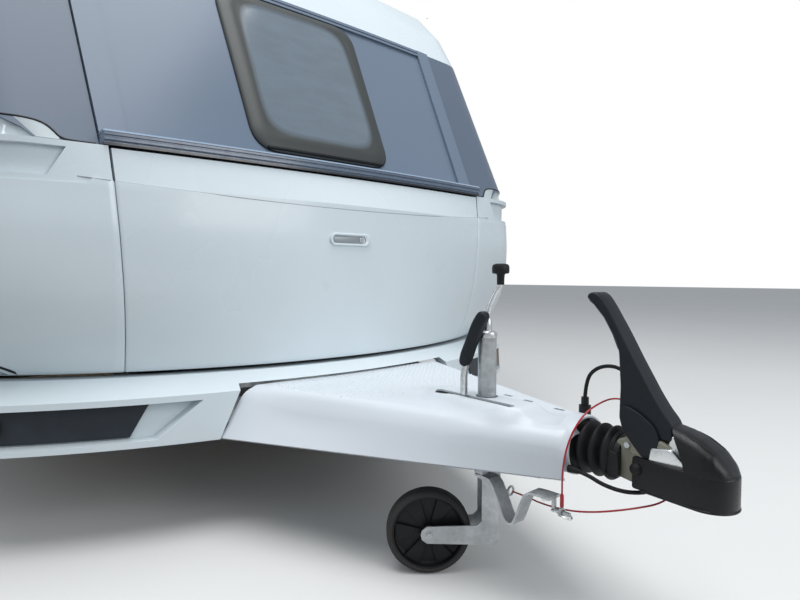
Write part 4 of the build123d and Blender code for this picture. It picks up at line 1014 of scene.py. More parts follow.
class CARAVAN_OT_cords(bpy.types.Operator):
    """Makes the power lead and the red breakaway cable on the drawbar"""

    bl_idname = "caravan.cords"
    bl_label = "Cords"

    def execute(self, context):
        sizes = context.scene.caravan_sizes
        lead_route = metres(
            (1043, -72, 352), (1076, -72, 352), (1116, -63, 334), (1156, -36, 323), (1188, 8, 325), (1200, 46, 345),
            (1190, 68, 386), (1162, 74, 432), (1138, 73, 480), (1118, 69, 526), (1098, 66, 558), (1063, 62, 572),
            (1026, 56, 563), (1002, 50, 534), (1002, 46, 490),
        )
        lead = add_cord("power_lead_sheath", lead_route, sizes.lead / 2, "black_rubber")
        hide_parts("power_lead")
        relief = metres((1036, 8.2), (1040, 8.5), (1048, 7.2), (1060, 5.8), (1067, 4.9))
        gather("power_lead_relief", [turned(relief, level_axis(-0.072, 0.352), 24)], "black_rubber")
        cable_route = metres(
            (1040, -103, 274), (1040, -103, 312), (1050, -118, 360), (1056, -115, 408), (1066, -102, 452),
            (1076, -72, 486), (1084, -30, 501), (1086, 16, 505), (1092, 58, 498), (1108, 90, 472), (1140, 101, 434),
            (1178, 98, 394), (1208, 80, 354), (1218, 44, 322), (1204, 4, 305), (1174, -32, 296), (1136, -56, 284),
            (1092, -65, 269), (1048, -68, 257), (1004, -68, 250), (958, -66, 246), (914, -62, 247), (872, -62, 247),
        )
        cable = add_cord("breakaway_cable_sheath", cable_route, sizes.cable / 2, "red_cable")
        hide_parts("breakaway_cable")
        return {"FINISHED"}


class CARAVAN_OT_front_skin(bpy.types.Operator):
    """Makes the smooth moulded skins of the gas locker's lid and of the front corners beside it"""

    bl_idname = "caravan.front_skin"
    bl_label = "Front skins"

    lift = 0.003
    foot = 0.4915
    rear = -0.462
    half_span = 0.75

    def execute(self, context):
        self.add_lid()
        for side, word in SIDES:
            self.add_corner(side, word)
        return {"FINISHED"}

    def seam(self, up):
        return 0.716 + 0.044 * (up - 0.49) / 0.656

    def edge_fall(self, *distances):
        """How far a skin falls back near its edges, so that they look rolled."""
        return self.lift * max(1 - min(distances) / 0.006, 0.0) ** 2

    def rises(self):
        return [0.0, 0.004, 0.012] + [0.025 + 0.975 * step / 40 for step in range(41)]

    def height(self, share, left):
        """A row's height where the skin ends under the groove, which falls off beside the grip."""
        top = run_through(FRONT_GROOVE, left) if left < 0.842 else max(1.0525 - (left - 0.842) * 0.6, 1.0335)
        return self.foot + (top - self.foot) * share

    def add_lid(self):
        grid = []
        lefts = [-1.0, -0.9975, -0.9925] + [0.988 * (step / 30 - 1) for step in range(61)] + [0.9925, 0.9975, 1.0]
        for share in self.rises():
            row = []
            for left in lefts:
                up = self.height(share, abs(left) * self.half_span)
                crown, bow, _ = smooth_level(up)
                edge = self.seam(up) - 0.0015
                fall = self.edge_fall(up - self.foot, edge * (1 - abs(left)))
                row.append(at(crown - bow_back(left * edge, bow) + self.lift - fall, left * edge, up))
            grid.append(row)
        sheet = skin(grid, Vector((-0.0045, 0.0, 0.0)))
        gather("locker_lid_skin", [sheet], "white_moulding", "gas_locker_lid", 60.0)

    def add_corner(self, side, word):
        grid = []
        for share in self.rises():
            line = []
            for step in range(50):
                up = self.height(share, 0.76 if step < 2 else 0.76 + 0.016 * (step - 1))
                crown, bow, corner = smooth_level(up)
                radius = (bow * bow + self.half_span * self.half_span) / (2 * bow)
                middle = HALF_WIDTH - corner
                hub = crown - radius + sqrt((radius - corner) ** 2 - middle**2)
                swing = asin(middle / (radius - corner))
                start = self.seam(up) + 0.0015
                touch = radius * sin(swing)
                fall = 0.0
                if step < 25:
                    left = start + (touch - start) * (step / 24)
                    if step == 1:
                        left = min(start + 0.003, left)
                    spot, centre = Vector((crown - bow_back(left, bow), left)), Vector((crown - radius, 0.0))
                    fall = self.edge_fall(up - self.foot, left - start if step < 10 else 1.0)
                elif step < 45:
                    turn = swing + (pi / 2 - swing) * (step - 24) / 20
                    centre = Vector((hub, middle))
                    spot = centre + Vector((cos(turn), sin(turn))) * corner
                else:
                    spot = Vector((hub + (self.rear - hub) * (step - 44) / 5, HALF_WIDTH))
                    centre = Vector((spot.x, 0.0))
                fade = min(max((spot.x - self.rear) / 0.05, 0.15), 1.0)
                spot += (spot - centre).normalized() * (self.lift * fade - fall)
                line.append(at(spot.x, side * spot.y, up))
            grid.append(line)

        def inward(row, column):
            spot = grid[row][column]
            return (at(-0.6, side * 0.45, spot.z) - spot).normalized() * 0.0042

        gather(f"corner_skin_{word}", [skin(grid, inward)], "white_moulding", crease=60.0)


class CARAVAN_OT_front_window(bpy.types.Operator):
    """Makes the front window: its rubber seal, the blown pane and the sill strip at its foot"""

    bl_idname = "caravan.front_window"
    bl_label = "Front window"

    def execute(self, context):
        seal = slab(self.outline(0.0), 0.0, 0.006, on_band(0.0), 0.002)
        gather("front_window_seal", [seal], "black_rubber")
        rings = []
        for inset, rise in metres(
            (3, 3.5), (2, 4), (4, 8), (10, 12.5), (22, 18.5), (36, 22), (46, 23), (56, 22.2), (66, 21), (80, 21.4),
            (120, 23), (170, 24), (220, 24.5),
        ):
            rings.append([on_band(rise)(point.x, point.y, 0.0) for point in self.outline(inset)])
        pane = gather("front_window_pane", [capped_form(rings)], "front_pane", crease=60.0)
        strip = [on_band(0.0135)(left, 1.2225, 0.0) for left in (-0.25, -0.225, -0.12, 0.0, 0.12, 0.225, 0.25)]
        add_bar("front_window_sill", strip, 0.0055, "black_gloss")
        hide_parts("front_window")
        return {"FINISHED"}

    def outline(self, inset):
        """The pane's outline on the band, a little wider at its top, drawn in from its edge."""
        soft = max(0.075 - inset * 0.5, 0.02)
        corners = metres((318, 1888), (-318, 1888), (-296, 1212), (296, 1212))
        moved = [(left - copysign(inset, left), up - copysign(inset, up - 1.55)) for left, up in corners]
        return soften(moved, soft * 1.25, 9)


class CARAVAN_OT_front_trim(bpy.types.Operator):
    """Makes the locker's handle, the seals of the corner notches and the slanted stripes"""

    bl_idname = "caravan.front_trim"
    bl_label = "Front trim"

    def execute(self, context):
        self.add_handle()
        self.add_notch_seals()
        self.add_stripe()
        return {"FINISHED"}

    def add_handle(self):
        up = 0.91
        rings = []
        for width, height, radius, left, ahead in metres(
            (176, 45, 21.5, 0, 81), (176, 45, 21.5, 0, 91.2), (170, 39, 18.5, -3, 94.2), (150, 35, 15.5, -3, 94.2),
            (142, 29, 12.5, -6, 92.2), (142, 29, 12.5, -6, 81),
        ):
            rings.append([at(ahead, *point) for point in shifted(rounded_box(width, height, radius, 8), left, up)])
        bezel = gather("locker_handle_bezel", [band_of(rings)], "white_moulding", "gas_locker_lid")
        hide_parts("locker_handle")
        paddle = slab(
            shifted(rounded_box(0.13, 0.0235, 0.01, 8), -0.008, up), 0.081, 0.0898, seen_from_ahead, 0.0025
        )
        gather("locker_handle_paddle", [paddle], "silver_paint", "gas_locker_lid")
        barrel = turned([(0.0896, 0.0075), (0.0912, 0.0082), (0.0919, 0.0075)], level_axis(0.046, up), 28)
        gather("locker_lock_barrel", [barrel], "bright_zinc", "gas_locker_lid")
        slot = slab(shifted(rounded_box(0.002, 0.009, 0.0009, 3), 0.046, up), 0.0917, 0.0922, seen_from_ahead)
        gather("locker_lock_slot", [slot], "black_plastic", "gas_locker_lid")

    def add_notch_seals(self):
        """The dark seal under each upper corner panel, a sheet of painted shade in the notch below it, and thin grey
        lines of painted shade in the groove beside the corners and across the lid.
        """
        skins = skin_of(
            "upper_corners", "lower_corners", "gas_locker_lid", "front_band", "belt_rail", "locker_lid_skin",
            "corner_skin_left", "corner_skin_right",
        )
        backward = Vector((-1.0, 0.0, 0.0))
        shoulder = 1.1555
        before = 2.0
        edge = metres(
            (785, 1156), (820, 1156), (858, 1157), (873.3, 1163), (885.7, 1180), (903, 1197), (925.3, 1205.5),
            (949.8, 1208.8), (976.1, 1209.9), (1010, 1210.2), (1050, 1210.2), (1085, 1210.2), (1112, 1210.2),
        )
        groove = FRONT_GROOVE[:0:-1]
        for side, word in SIDES:
            route = [land(skins, at(before, side * left, up), backward, 0.0004) for left, up in edge]
            add_bar(f"notch_seal_{word}", route, 0.003, "black_rubber")
            # Painted shade: a sheet over the notch under the corner panel, in a darkened copy of the white moulding.
            grid = []
            for left, up in edge[3:]:
                levels = [shoulder + (up - shoulder) * share for share in (0.0, 0.5, 1.0)]
                grid.append([land(skins, at(before, side * left, level), backward, 0.0007) for level in levels])
            shade_fill = skin(grid, Vector((-0.0004, 0.0, 0.0)))
            gather(f"notch_infill_{word}", [shade_fill], "notch_shade_paint")
            # Painted shade: a thin grey line sunk into the skin along the groove.
            route = [land(skins, at(before, side * left, up), backward, -0.0002) for left, up in groove[:3]]
            add_bar(f"corner_groove_{word}", route, 0.0014, "groove_shade")
        half = [(0.748, 1.0455), *groove[3:]]
        line = [*half, (0.0, 1.017)] + [(-left, up) for left, up in half[::-1]]
        route = [land(skins, at(before, left, up), backward, -0.0002) for left, up in line]
        add_bar("lid_groove", route, 0.0014, "groove_shade", "gas_locker_lid")

    def add_stripe(self):
        """The slanted film stripes, which start low on the front and ease out along the side."""
        skins = skin_of("lower_corners", "side_wall_left", "side_wall_right", "corner_skin_left", "corner_skin_right")
        for side, word in SIDES:
            pivot = at(-0.75, side * 0.6, 0.0)
            outside = 3.0
            line = []
            run = 0.0
            for step in range(81):
                turn = radians(33.5 + step * 1.2)
                way = Vector((cos(turn), side * sin(turn), 0.0))
                spot = land(skins, pivot + way * outside + Vector((0.0, 0.0, 0.54)), -way)
                run += (spot - line[-1][0]).length if line else 0.0
                line.append((spot, way, run))
            for name, finish, drop, width in (
                ("stripe_black", "black_plastic", 0.0, 0.012), ("stripe_grey", "stripe_film", 0.0262, 0.034),
            ):
                grid = []
                for spot, way, run in line:
                    top = 0.4935 + 0.24 * (1 - exp(-0.69 * run / 0.24)) - drop
                    thin = 1.0 - (run / line[-1][2]) ** 3
                    if top < 0.4945:
                        continue
                    levels = [max(top - width * thin * share, 0.4925) for share in (0.0, 1.0)]
                    grid.append([
                        land(skins, pivot + way * outside + Vector((0.0, 0.0, level)), -way, 0.0007) for level in levels
                    ])
                film = skin(grid, Vector((0.0, -side * 0.0004, 0.0)))
                gather(f"{name}_{word}", [film], finish)


class CARAVAN_OT_drawbar_cover(bpy.types.Operator):
    """Makes the moulded drawbar cover with its raised pad, lever slot, drain holes and non-slip studs"""

    bl_idname = "caravan.drawbar_cover"
    bl_label = "Drawbar cover"

    rear = 0.118
    nose = 1.035

    def half_at(self, ahead, rear_half, nose_half):
        return rear_half + (ahead - self.rear) / (self.nose - self.rear) * (nose_half - rear_half)

    def pad_share(self, ahead, left):
        """How much of the pad's full height there is at a place of the top."""
        line = metres((440, -55), (540, -85), (640, -125), (760, -150), (860, -140), (950, -105))
        flank = run_through(line, ahead, True)
        near = (left - flank) / 0.042
        far = (0.03 - left) / 0.05
        start = (ahead - 0.445) / 0.19
        end = (0.958 - ahead) / 0.055
        shares = [min(max(part, 0.0), 1.0) for part in (near, far, start, end)]
        eased = [part * part * (3 - 2 * part) for part in shares]
        return eased[0] * eased[1] * eased[2] * eased[3]

    def section(self, ahead):
        """Half of the cover's section on the near side, from the bottom edge to the middle."""
        bottom_half = self.half_at(ahead, 0.5, 0.09)
        crease_half = self.half_at(ahead, 0.432, 0.088)
        crown_half = self.half_at(ahead, 0.395, 0.06)
        bottom = 0.288 + 0.038 * (ahead - self.rear) / (self.nose - self.rear)
        crease = run_through(
            metres(
                (118, 413), (240, 386), (340, 374), (450, 378), (607, 391), (750, 392), (826, 406), (1035, 404),
            ), ahead,
        )
        crown = 0.438
        close = max(ahead - 1.012, 0.0) / 0.023
        drop = 0.016 * (1 - sqrt(max(1 - close * close, 0.0)))
        crown -= drop
        crease -= drop
        points = [(bottom_half - 0.004, bottom), (bottom_half, bottom + 0.004)]
        for share in (0.3, 0.6, 0.9):
            left = bottom_half + (crease_half - bottom_half) * share
            points.append((left, bottom + (crease - bottom) * share * 0.97))
        corner = Vector((crease_half + 0.002, crease + 0.004))
        start = Vector(points[-1])
        target = corner.lerp(Vector((crown_half + 0.014, crown - 0.004)), 0.42)
        edge = Vector((crown_half + 0.004, crown - 0.007))
        for step in range(1, 6):
            share = step / 5
            spot = start * (1 - share) ** 2 + target * 2 * share * (1 - share) + edge * share**2
            points.append((spot.x, spot.y))
        end = Vector((crown_half - 0.012, crown))
        points.append((end.x, end.y))
        points += [(end.x * (1 - step / 24), crown) for step in range(1, 25)]
        return points

    def surface(self):
        stations = [self.rear + (self.nose - self.rear) * step / 120 for step in range(121)]
        grid = []
        for ahead in stations:
            half = self.section(ahead)
            row = [(-across, up) for across, up in half] + [(across, up) for across, up in half[-2::-1]]
            grid.append([at(ahead, left, up + 0.028 * self.pad_share(ahead, left)) for left, up in row])
        return grid

    def execute(self, context):
        grid = self.surface()
        points = [point for row in grid for point in row]
        columns = len(grid[0])
        faces = []
        for row in range(len(grid) - 1):
            for column in range(columns - 1):
                corner = row * columns + column
                faces.append([corner, corner + columns, corner + columns + 1, corner + 1])
        shell = self.cut_shell(make_mesh("drawbar_cover_moulding", points, faces))
        cover = add_object("drawbar_cover_moulding", shell, "cover_white", crease=32.0)
        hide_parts("drawbar_cover")
        self.add_studs(cover)
        self.add_collar()
        return {"FINISHED"}

    def holes(self):
        """Outlines cut through the top: the lever's slot, the leg's hole and the drains."""
        drains = [
            shifted(rounded_box(0.032, 0.013, 0.004, 4), *spot)
            for spot in ((0.722, 0.104), (0.801, 0.092), (0.912, 0.074))
        ]
        slot = shifted(rounded_box(0.268, 0.021, 0.01), 0.757, -0.085)
        return [slot, shifted(disc(0.029, 40), *TUBE), *drains]

    def cut_shell(self, mesh):
        """The sheet with its thickness, less the holes."""
        holder = link("cover_shape", mesh)
        wall = holder.modifiers.new("wall", "SOLIDIFY")
        wall.thickness = 0.005
        wall.offset = -1.0
        cutters = []
        for outline in self.holes():
            form = slab(outline, 0.36, 0.52, seen_from_above)
            cutters.append(link("cutter", mend(make_mesh("cutter", *form))))
            cut = holder.modifiers.new("cut", "BOOLEAN")
            cut.object = cutters[-1]
            cut.solver = "EXACT"
        made = settled(holder)
        for used in (holder, *cutters):
            bpy.data.objects.remove(used)
        return made

    def add_studs(self, cover):
        tree = stud_tree()
        patches = (
            (0.33, 0.66, 18, 34, (0.3, 0.0)), (0.18, 0.12, 10, 7, (0.42, -0.17)),
            (0.2, 0.12, 11, 7, (0.52, 0.12)),
        )
        for number, (length, width, rows, columns, middle) in enumerate(patches):
            mesh = tree.make(
                "studs", Surface=cover, Length=length, Width=width, Rows=rows, Columns=columns,
                Middle=(FRONT + middle[0], middle[1], 0.5), Size=bpy.context.scene.caravan_sizes.stud,
                Finish=PALETTE["cover_white"],
            )
            add_object(f"cover_studs_{number + 1}", mesh, "cover_white", crease=60.0)

    def add_collar(self):
        """The rim of the nose, round the gaiter."""
        rings = []
        turns = [2 * pi * step / 48 for step in range(48)]
        rim = metres((1000, 71), (1030, 71), (1036.5, 69), (1036.5, 65), (1030, 63), (1000, 63))
        for ahead, radius in rim:
            rings.append([
                at(ahead, min(radius * cos(turn) * 1.12, 0.085), max(0.388 + radius * sin(turn), 0.33))
                for turn in turns
            ])
        gather("cover_nose_rim", [band_of(rings)], "cover_white", crease=50.0)


class CARAVAN_OT_gaiter(bpy.types.Operator):
    """Makes the rubber gaiter behind the coupling, its collar and its clamp"""

    bl_idname = "caravan.gaiter"
    bl_label = "Gaiter"

    def execute(self, context):
        sizes = context.scene.caravan_sizes
        tree = Tree(
            "gaiter", Length="Float", Folds="Int", Crest="Float",
            Dip="Float",
        )
        pipe = tree.node(
            "GeometryNodeMeshCylinder",
            {"Vertices": 64, "Side Segments": 96, "Radius": 1.0, "Depth": tree.take("Length")},
        )
        across, left, up = tree.node("GeometryNodeInputPosition").split()
        share = up / tree.take("Length") + 0.5
        wave = share * tree.take("Folds") * (2 * pi)
        swing = 0.5 - wave.maths("COSINE", wave) * 0.5
        radius = tree.take("Dip") + (tree.take("Crest") - tree.take("Dip")) * swing ** 0.6
        moved = tree.node("ShaderNodeCombineXYZ", {"X": across * radius, "Y": left * radius, "Z": up})
        tree.close(tree.node("GeometryNodeSetPosition", {"Geometry": pipe, "Position": moved}))
        start = 1.006
        end = 1.12
        mesh = tree.make(
            "gaiter_folds", Length=end - start, Folds=sizes.gaiter_folds, Crest=0.06, Dip=0.043,
            Finish=PALETTE["black_rubber"],
        )
        mesh.transform(Matrix.Translation(at((start + end) / 2, 0.0, AXIS_UP)) @ Matrix.Rotation(pi / 2, 4, "Y"))
        folds = add_object("gaiter_folds", mesh, "black_rubber", "caravan", 70.0)
        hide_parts("bellows")
        collar = metres((1108, 46), (1110, 49), (1122, 49), (1124, 46), (1134, 44), (1136, 41), (1136, 30))
        outline = metres((1112, 352), (1137, 350), (1140, 372), (1137, 404), (1116, 410))
        lug = slab(soften(outline, 0.006), -0.05, -0.036, lengthwise, 0.002)
        gather("gaiter_collar", [turned(collar, level_axis(0.0, AXIS_UP)), lug], "black_plastic")
        band = metres((1112.5, 48.5), (1112.5, 50.2), (1118.5, 50.2), (1118.5, 48.5))
        gather("gaiter_clamp", [turned(band, level_axis(0.0, AXIS_UP))], "black_plastic")
        return {"FINISHED"}


class CARAVAN_OT_coupling(bpy.types.Operator):
    """Makes the ball coupling: its cast body, the black hood over the socket and the stabiliser's lever"""

    bl_idname = "caravan.coupling"
    bl_label = "Coupling"

    def execute(self, context):
        self.add_body()
        self.add_hood()
        self.add_lever()
        return {"FINISHED"}

    def add_body(self):
        outline = metres(
            (1124, 352), (1160, 346), (1240, 345.5), (1262, 352), (1262, 398), (1246, 430), (1222, 445), (1190, 449),
            (1160, 444), (1124, 430),
        )
        form = slab(soften(outline, 0.01), -0.031, 0.031, lengthwise, 0.004)
        neck = turned([(1.112, 0.024), (1.135, 0.0245), (1.138, 0.03)], level_axis(0.0, AXIS_UP), 40)
        rings = []
        for width, height, level in metres((46, 20, 30.5), (45, 19, 32.2), (42, 16, 32.2), (41, 15, 30.5)):
            rings.append([
                at(1.176 + point.x, -level, 0.398 + point.y - 0.25 * point.x)
                for point in rounded_box(width, height, 0.003, 4)
            ])
        body = gather("coupling_casting", [form, neck, band_of(rings)], "cast")
        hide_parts("coupling_head")
        bolts = []
        plugs = []
        profile = metres((31, 12), (36, 13.5), (42, 12), (47, 8), (48.5, 3))
        for side in (1, -1):
            head = shifted(disc(0.0068, 6), 1.15, 0.424)
            bolts.append(slab(head, side * 0.031, side * 0.0365, lengthwise))
            plugs.append(turned(profile, lambda along, a, b, side=side: at(1.172 + a, side * along, 0.379 + b), 28))
        gather("coupling_bolts", bolts, "galvanised")
        gather("coupling_plugs", plugs, "black_rubber")
        outline = metres((1195, 402), (1262, 394), (1268, 412), (1240, 436), (1200, 430))
        grip = slab(soften(outline, 0.006), -0.036, 0.036, lengthwise, 0.003)
        outline = metres((1222, 418), (1262, 424), (1266, 446), (1236, 462))
        arm = slab(soften(outline, 0.006), -0.024, 0.024, lengthwise, 0.003)
        gather("coupling_jaw", [grip, arm], "bright_zinc")

    def add_hood(self):
        plan = metres(
            (1163, 36), (1200, 43), (1260, 50), (1300, 51.5), (1322, 49), (1336, 41), (1344, 31), (1349, 19),
            (1352, 7),
        )
        outline = [Vector(spot) for spot in plan[::-1]] + [Vector((ahead, -half)) for ahead, half in plan]
        cradle = slab(outline, 0.336, 0.405, seen_from_above, 0.006)
        top = metres((1236, 480), (1262, 474), (1290, 464), (1318, 446), (1338, 422), (1352, 396))
        grid = []
        for step in range(29):
            share = step / 28
            row = []
            for turn in range(41):
                angle = pi * turn / 40
                wide = copysign(abs(cos(angle)) ** 0.6, cos(angle))
                tall = sin(angle) ** 0.6
                ahead = (1.272 - 0.036 * tall**2) * (1 - share) + 1.3515 * share
                half = run_through(plan, ahead) * 0.985
                row.append(at(ahead, wide * half, 0.392 + tall * (run_through(top, ahead) - 0.392)))
            grid.append(row)
        dome = skin(grid, lambda row, column: Vector((-0.0015, -0.12 * grid[row][column].y, -0.006)))
        gather("coupling_hood", [cradle, dome], "black_gloss", crease=42.0)
        skins = skin_of("coupling_hood")
        lip = [at(1.185, -0.0405, 0.3385)]
        for step in range(31):
            angle = pi * (step / 30 - 0.5)
            lip.append(at(1.298 + 0.053 * cos(angle), 0.0515 * sin(angle), 0.3385))
        lip.append(at(1.185, 0.0405, 0.3385))
        add_bar("coupling_lip", lip, 0.0028, "black_gloss", "caravan", "POLY")
        scoops = []
        for side in (1, -1):
            grid = []
            for step in range(13):
                ahead = 1.268 + 0.05 * step / 12
                wide = 0.0055 * sin(pi * min(max(step / 12, 0.04), 0.96)) ** 0.4
                grid.append([
                    land(skins, at(ahead, side * 0.026 + wide * share, 0.6), Vector((0.0, 0.0, -1.0)), 0.0006)
                    for share in (-1.0, -0.4, 0.4, 1.0)
                ])
            scoops.append(skin(grid, Vector((0.0, 0.0, -0.0004))))
        gather("hood_scoops", scoops, "black_rubber")

    def add_lever(self):
        outline = metres(
            (1142, 447), (1240, 447), (1238, 482), (1216, 508), (1196, 538), (1176, 572), (1156, 606), (1126, 660),
            (1092, 716), (1076, 738), (1062, 745), (1048, 741), (1045, 731), (1056, 723), (1088, 688), (1110, 650),
            (1122, 620), (1127, 544), (1125, 472),
        )
        arm = slab(soften(outline, 0.01, 3), -0.0255, 0.0255, lengthwise, 0.005, 3)
        foot_outline = metres(
            (1132, 503), (1148, 506), (1176, 494), (1204, 474), (1216.5, 450), (1206, 412), (1199, 402), (1186, 399),
            (1152, 435), (1132, 466),
        )
        cheeks = [
            slab(soften(foot_outline, 0.01, 3), *level, lengthwise, 0.0025)
            for level in ((-0.0325, -0.024), (0.024, 0.0325))
        ]
        lever = gather("coupling_lever_moulding", [arm, *cheeks], "lever_black", crease=28.0)
        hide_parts("coupling_lever")
        inlay = metres(
            (1044.5, 737), (1049, 723.5), (1060, 715.5), (1084, 688), (1104, 654), (1116.5, 624), (1120.5, 620),
            (1112, 652), (1090, 690.5), (1059, 726.5),
        )
        strip = slab([Vector(spot) for spot in inlay], -0.019, 0.019, lengthwise, 0.001)
        gather("coupling_lever_inlay", [strip], "grey_rubber")


class CARAVAN_OT_jockey(bpy.types.Operator):
    """Makes the jockey wheel's ribbed wheel, its fork's bolt, the tube's cap and clamp, and the bent crank"""

    bl_idname = "caravan.jockey"
    bl_label = "Jockey wheel"

    def execute(self, context):
        self.add_wheel()
        self.add_crank()
        self.add_clamp()
        return {"FINISHED"}

    def add_wheel(self):
        back, aside = -0.095, -0.121
        centre = at(TUBE[0] + back, TUBE[1] + aside, 0.111)
        trail = Vector((back, aside, 0.0)).normalized()
        axle = Vector((-trail.y, trail.x, 0.0))
        matrix = Matrix((
            (trail.x, 0.0, axle.x, centre.x), (trail.y, 0.0, axle.y, centre.y), (0.0, 1.0, 0.0, centre.z),
            (0.0, 0.0, 0.0, 1.0),
        ))
        place = on_axle(matrix)
        tread = metres((-22.5, 95.5), (-24.3, 97.5), (-23.5, 101), (-19.5, 107), (-14, 110.2))
        for groove in (-0.009, 0.0, 0.009):
            tread += [(groove + along, radius) for along, radius in metres(
                (-2.2, 110.8), (-1.2, 108.8), (1.2, 108.8), (2.2, 110.8),
            )]
        tread += [(-along, radius) for along, radius in tread[4::-1]]
        gather("jockey_tyre", [band_of(hoops(tread, place, 72))], "tyre", "jockey_wheel", 45.0)
        half = metres(
            (-16, 7.2), (-16, 15), (-14.5, 17), (-6, 18.5), (-4, 30), (-4, 84), (-7, 89), (-21.5, 91.5), (-22.5, 93),
            (-22.5, 96),
        )
        hub = half + [(-along, radius) for along, radius in half[::-1]]
        wheel = gather("jockey_wheel_disc", [band_of(hoops(hub, place, 72))], "black_plastic", "jockey_wheel", 30.0)
        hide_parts("jockey_wheel")
        outline = [Vector(spot) for spot in metres((-30, -7), (38, -24), (38, 24), (-30, 7))]
        wedge = slab(outline, -0.0125, 0.0125, as_drawn, 0.002)
        add_ring("jockey_wheel_wedges", [wedge], 6, 0.05, matrix, "wedge_plastic", "jockey_wheel", 30.0)
        bolt = []
        for side in (1, -1):
            bolt.append(turned([(side * 0.0335, 0.0115), (side * 0.0355, 0.0115), (side * 0.0355, 0.007)], place, 24))
            bolt.append(slab(disc(0.0085, 6), side * 0.035, side * 0.0415, lambda u, v, w: place(w, u, v)))
        gather("jockey_axle_bolt", bolt, "galvanised", "jockey_fork")

    def add_crank(self):
        cap = metres(
            (620.5, 25.5), (628, 25.8), (634, 24.4), (637, 20), (638.5, 12.5), (650, 11.8), (664, 10.8), (670, 8.5),
        )
        dome = gather("jockey_tube_cap", [turned(cap, upright(*TUBE), 40)], "bright_zinc")
        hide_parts("jockey_crank")
        route = metres(
            (771, -43, 664), (771, -43, 676), (772.5, -41.5, 692), (776, -38, 710), (784, -28, 738),
            (790.5, -20.5, 752), (793, -18, 764), (793, -18, 776),
        )
        add_bar("jockey_crank_rod", [at(*spot) for spot in route], 0.0068, "bright_zinc")
        knob = metres(
            (757, 8), (758, 9.5), (781, 9.8), (785, 11.5), (786.5, 20.5), (789, 22.2), (797, 22.5), (804, 22.2),
            (809.5, 19.5), (812, 12),
        )
        gather("jockey_crank_knob", [turned(knob, upright(0.793, -0.018), 36)], "black_plastic")

    def add_clamp(self):
        """The lower collar of the sliding leg, and the handle of the clamp that holds the tube."""
        ring = metres((296.5, 20.5), (296.5, 24.6), (303.4, 24.6), (304.2, 20.5))
        gather("jockey_leg_collar", [turned(ring, upright(*TUBE), 40)], "bright_zinc", "jockey_leg")
        route = [at(0.771, -0.075, 0.372), at(0.771, -0.105, 0.372), at(0.776, -0.118, 0.37), at(0.792, -0.124, 0.364)]
        add_bar("jockey_clamp_handle", route, 0.006, "bright_zinc")


class CARAVAN_OT_handbrake(bpy.types.Operator):
    """Makes the handbrake: a plated lever on its foot plate and its black grip"""

    bl_idname = "caravan.handbrake"
    bl_label = "Handbrake"

    def execute(self, context):
        left = -0.084
        foot = metres(
            (709, 352), (738, 352), (737, 400), (735.5, 460), (735.5, 520), (744, 562), (728, 568), (718, 520),
            (717.5, 460), (713, 400),
        )
        blade = slab(soften(foot, 0.008), left - 0.0055, left + 0.0055, lengthwise, 0.0015)
        outline = metres((697, 350), (747, 350), (745, 382), (699, 382))
        plate = slab(soften(outline, 0.006), left - 0.011, left + 0.011, lengthwise, 0.001)
        lever = gather("handbrake_blade", [blade, plate], "bright_zinc")
        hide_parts("handbrake_lever")
        grip = metres(
            (716, 556), (722, 545), (738, 543), (747, 553), (764, 596), (790, 645), (807, 672), (805, 686),
            (793, 692), (780, 688), (760, 660), (737, 610), (721, 578),
        )
        handle = slab(soften(grip, 0.012, 5), left - 0.0135, left + 0.0135, lengthwise, 0.0085, 5)
        gather("handbrake_grip", [handle], "lever_black", crease=40.0)
        return {"FINISHED"}


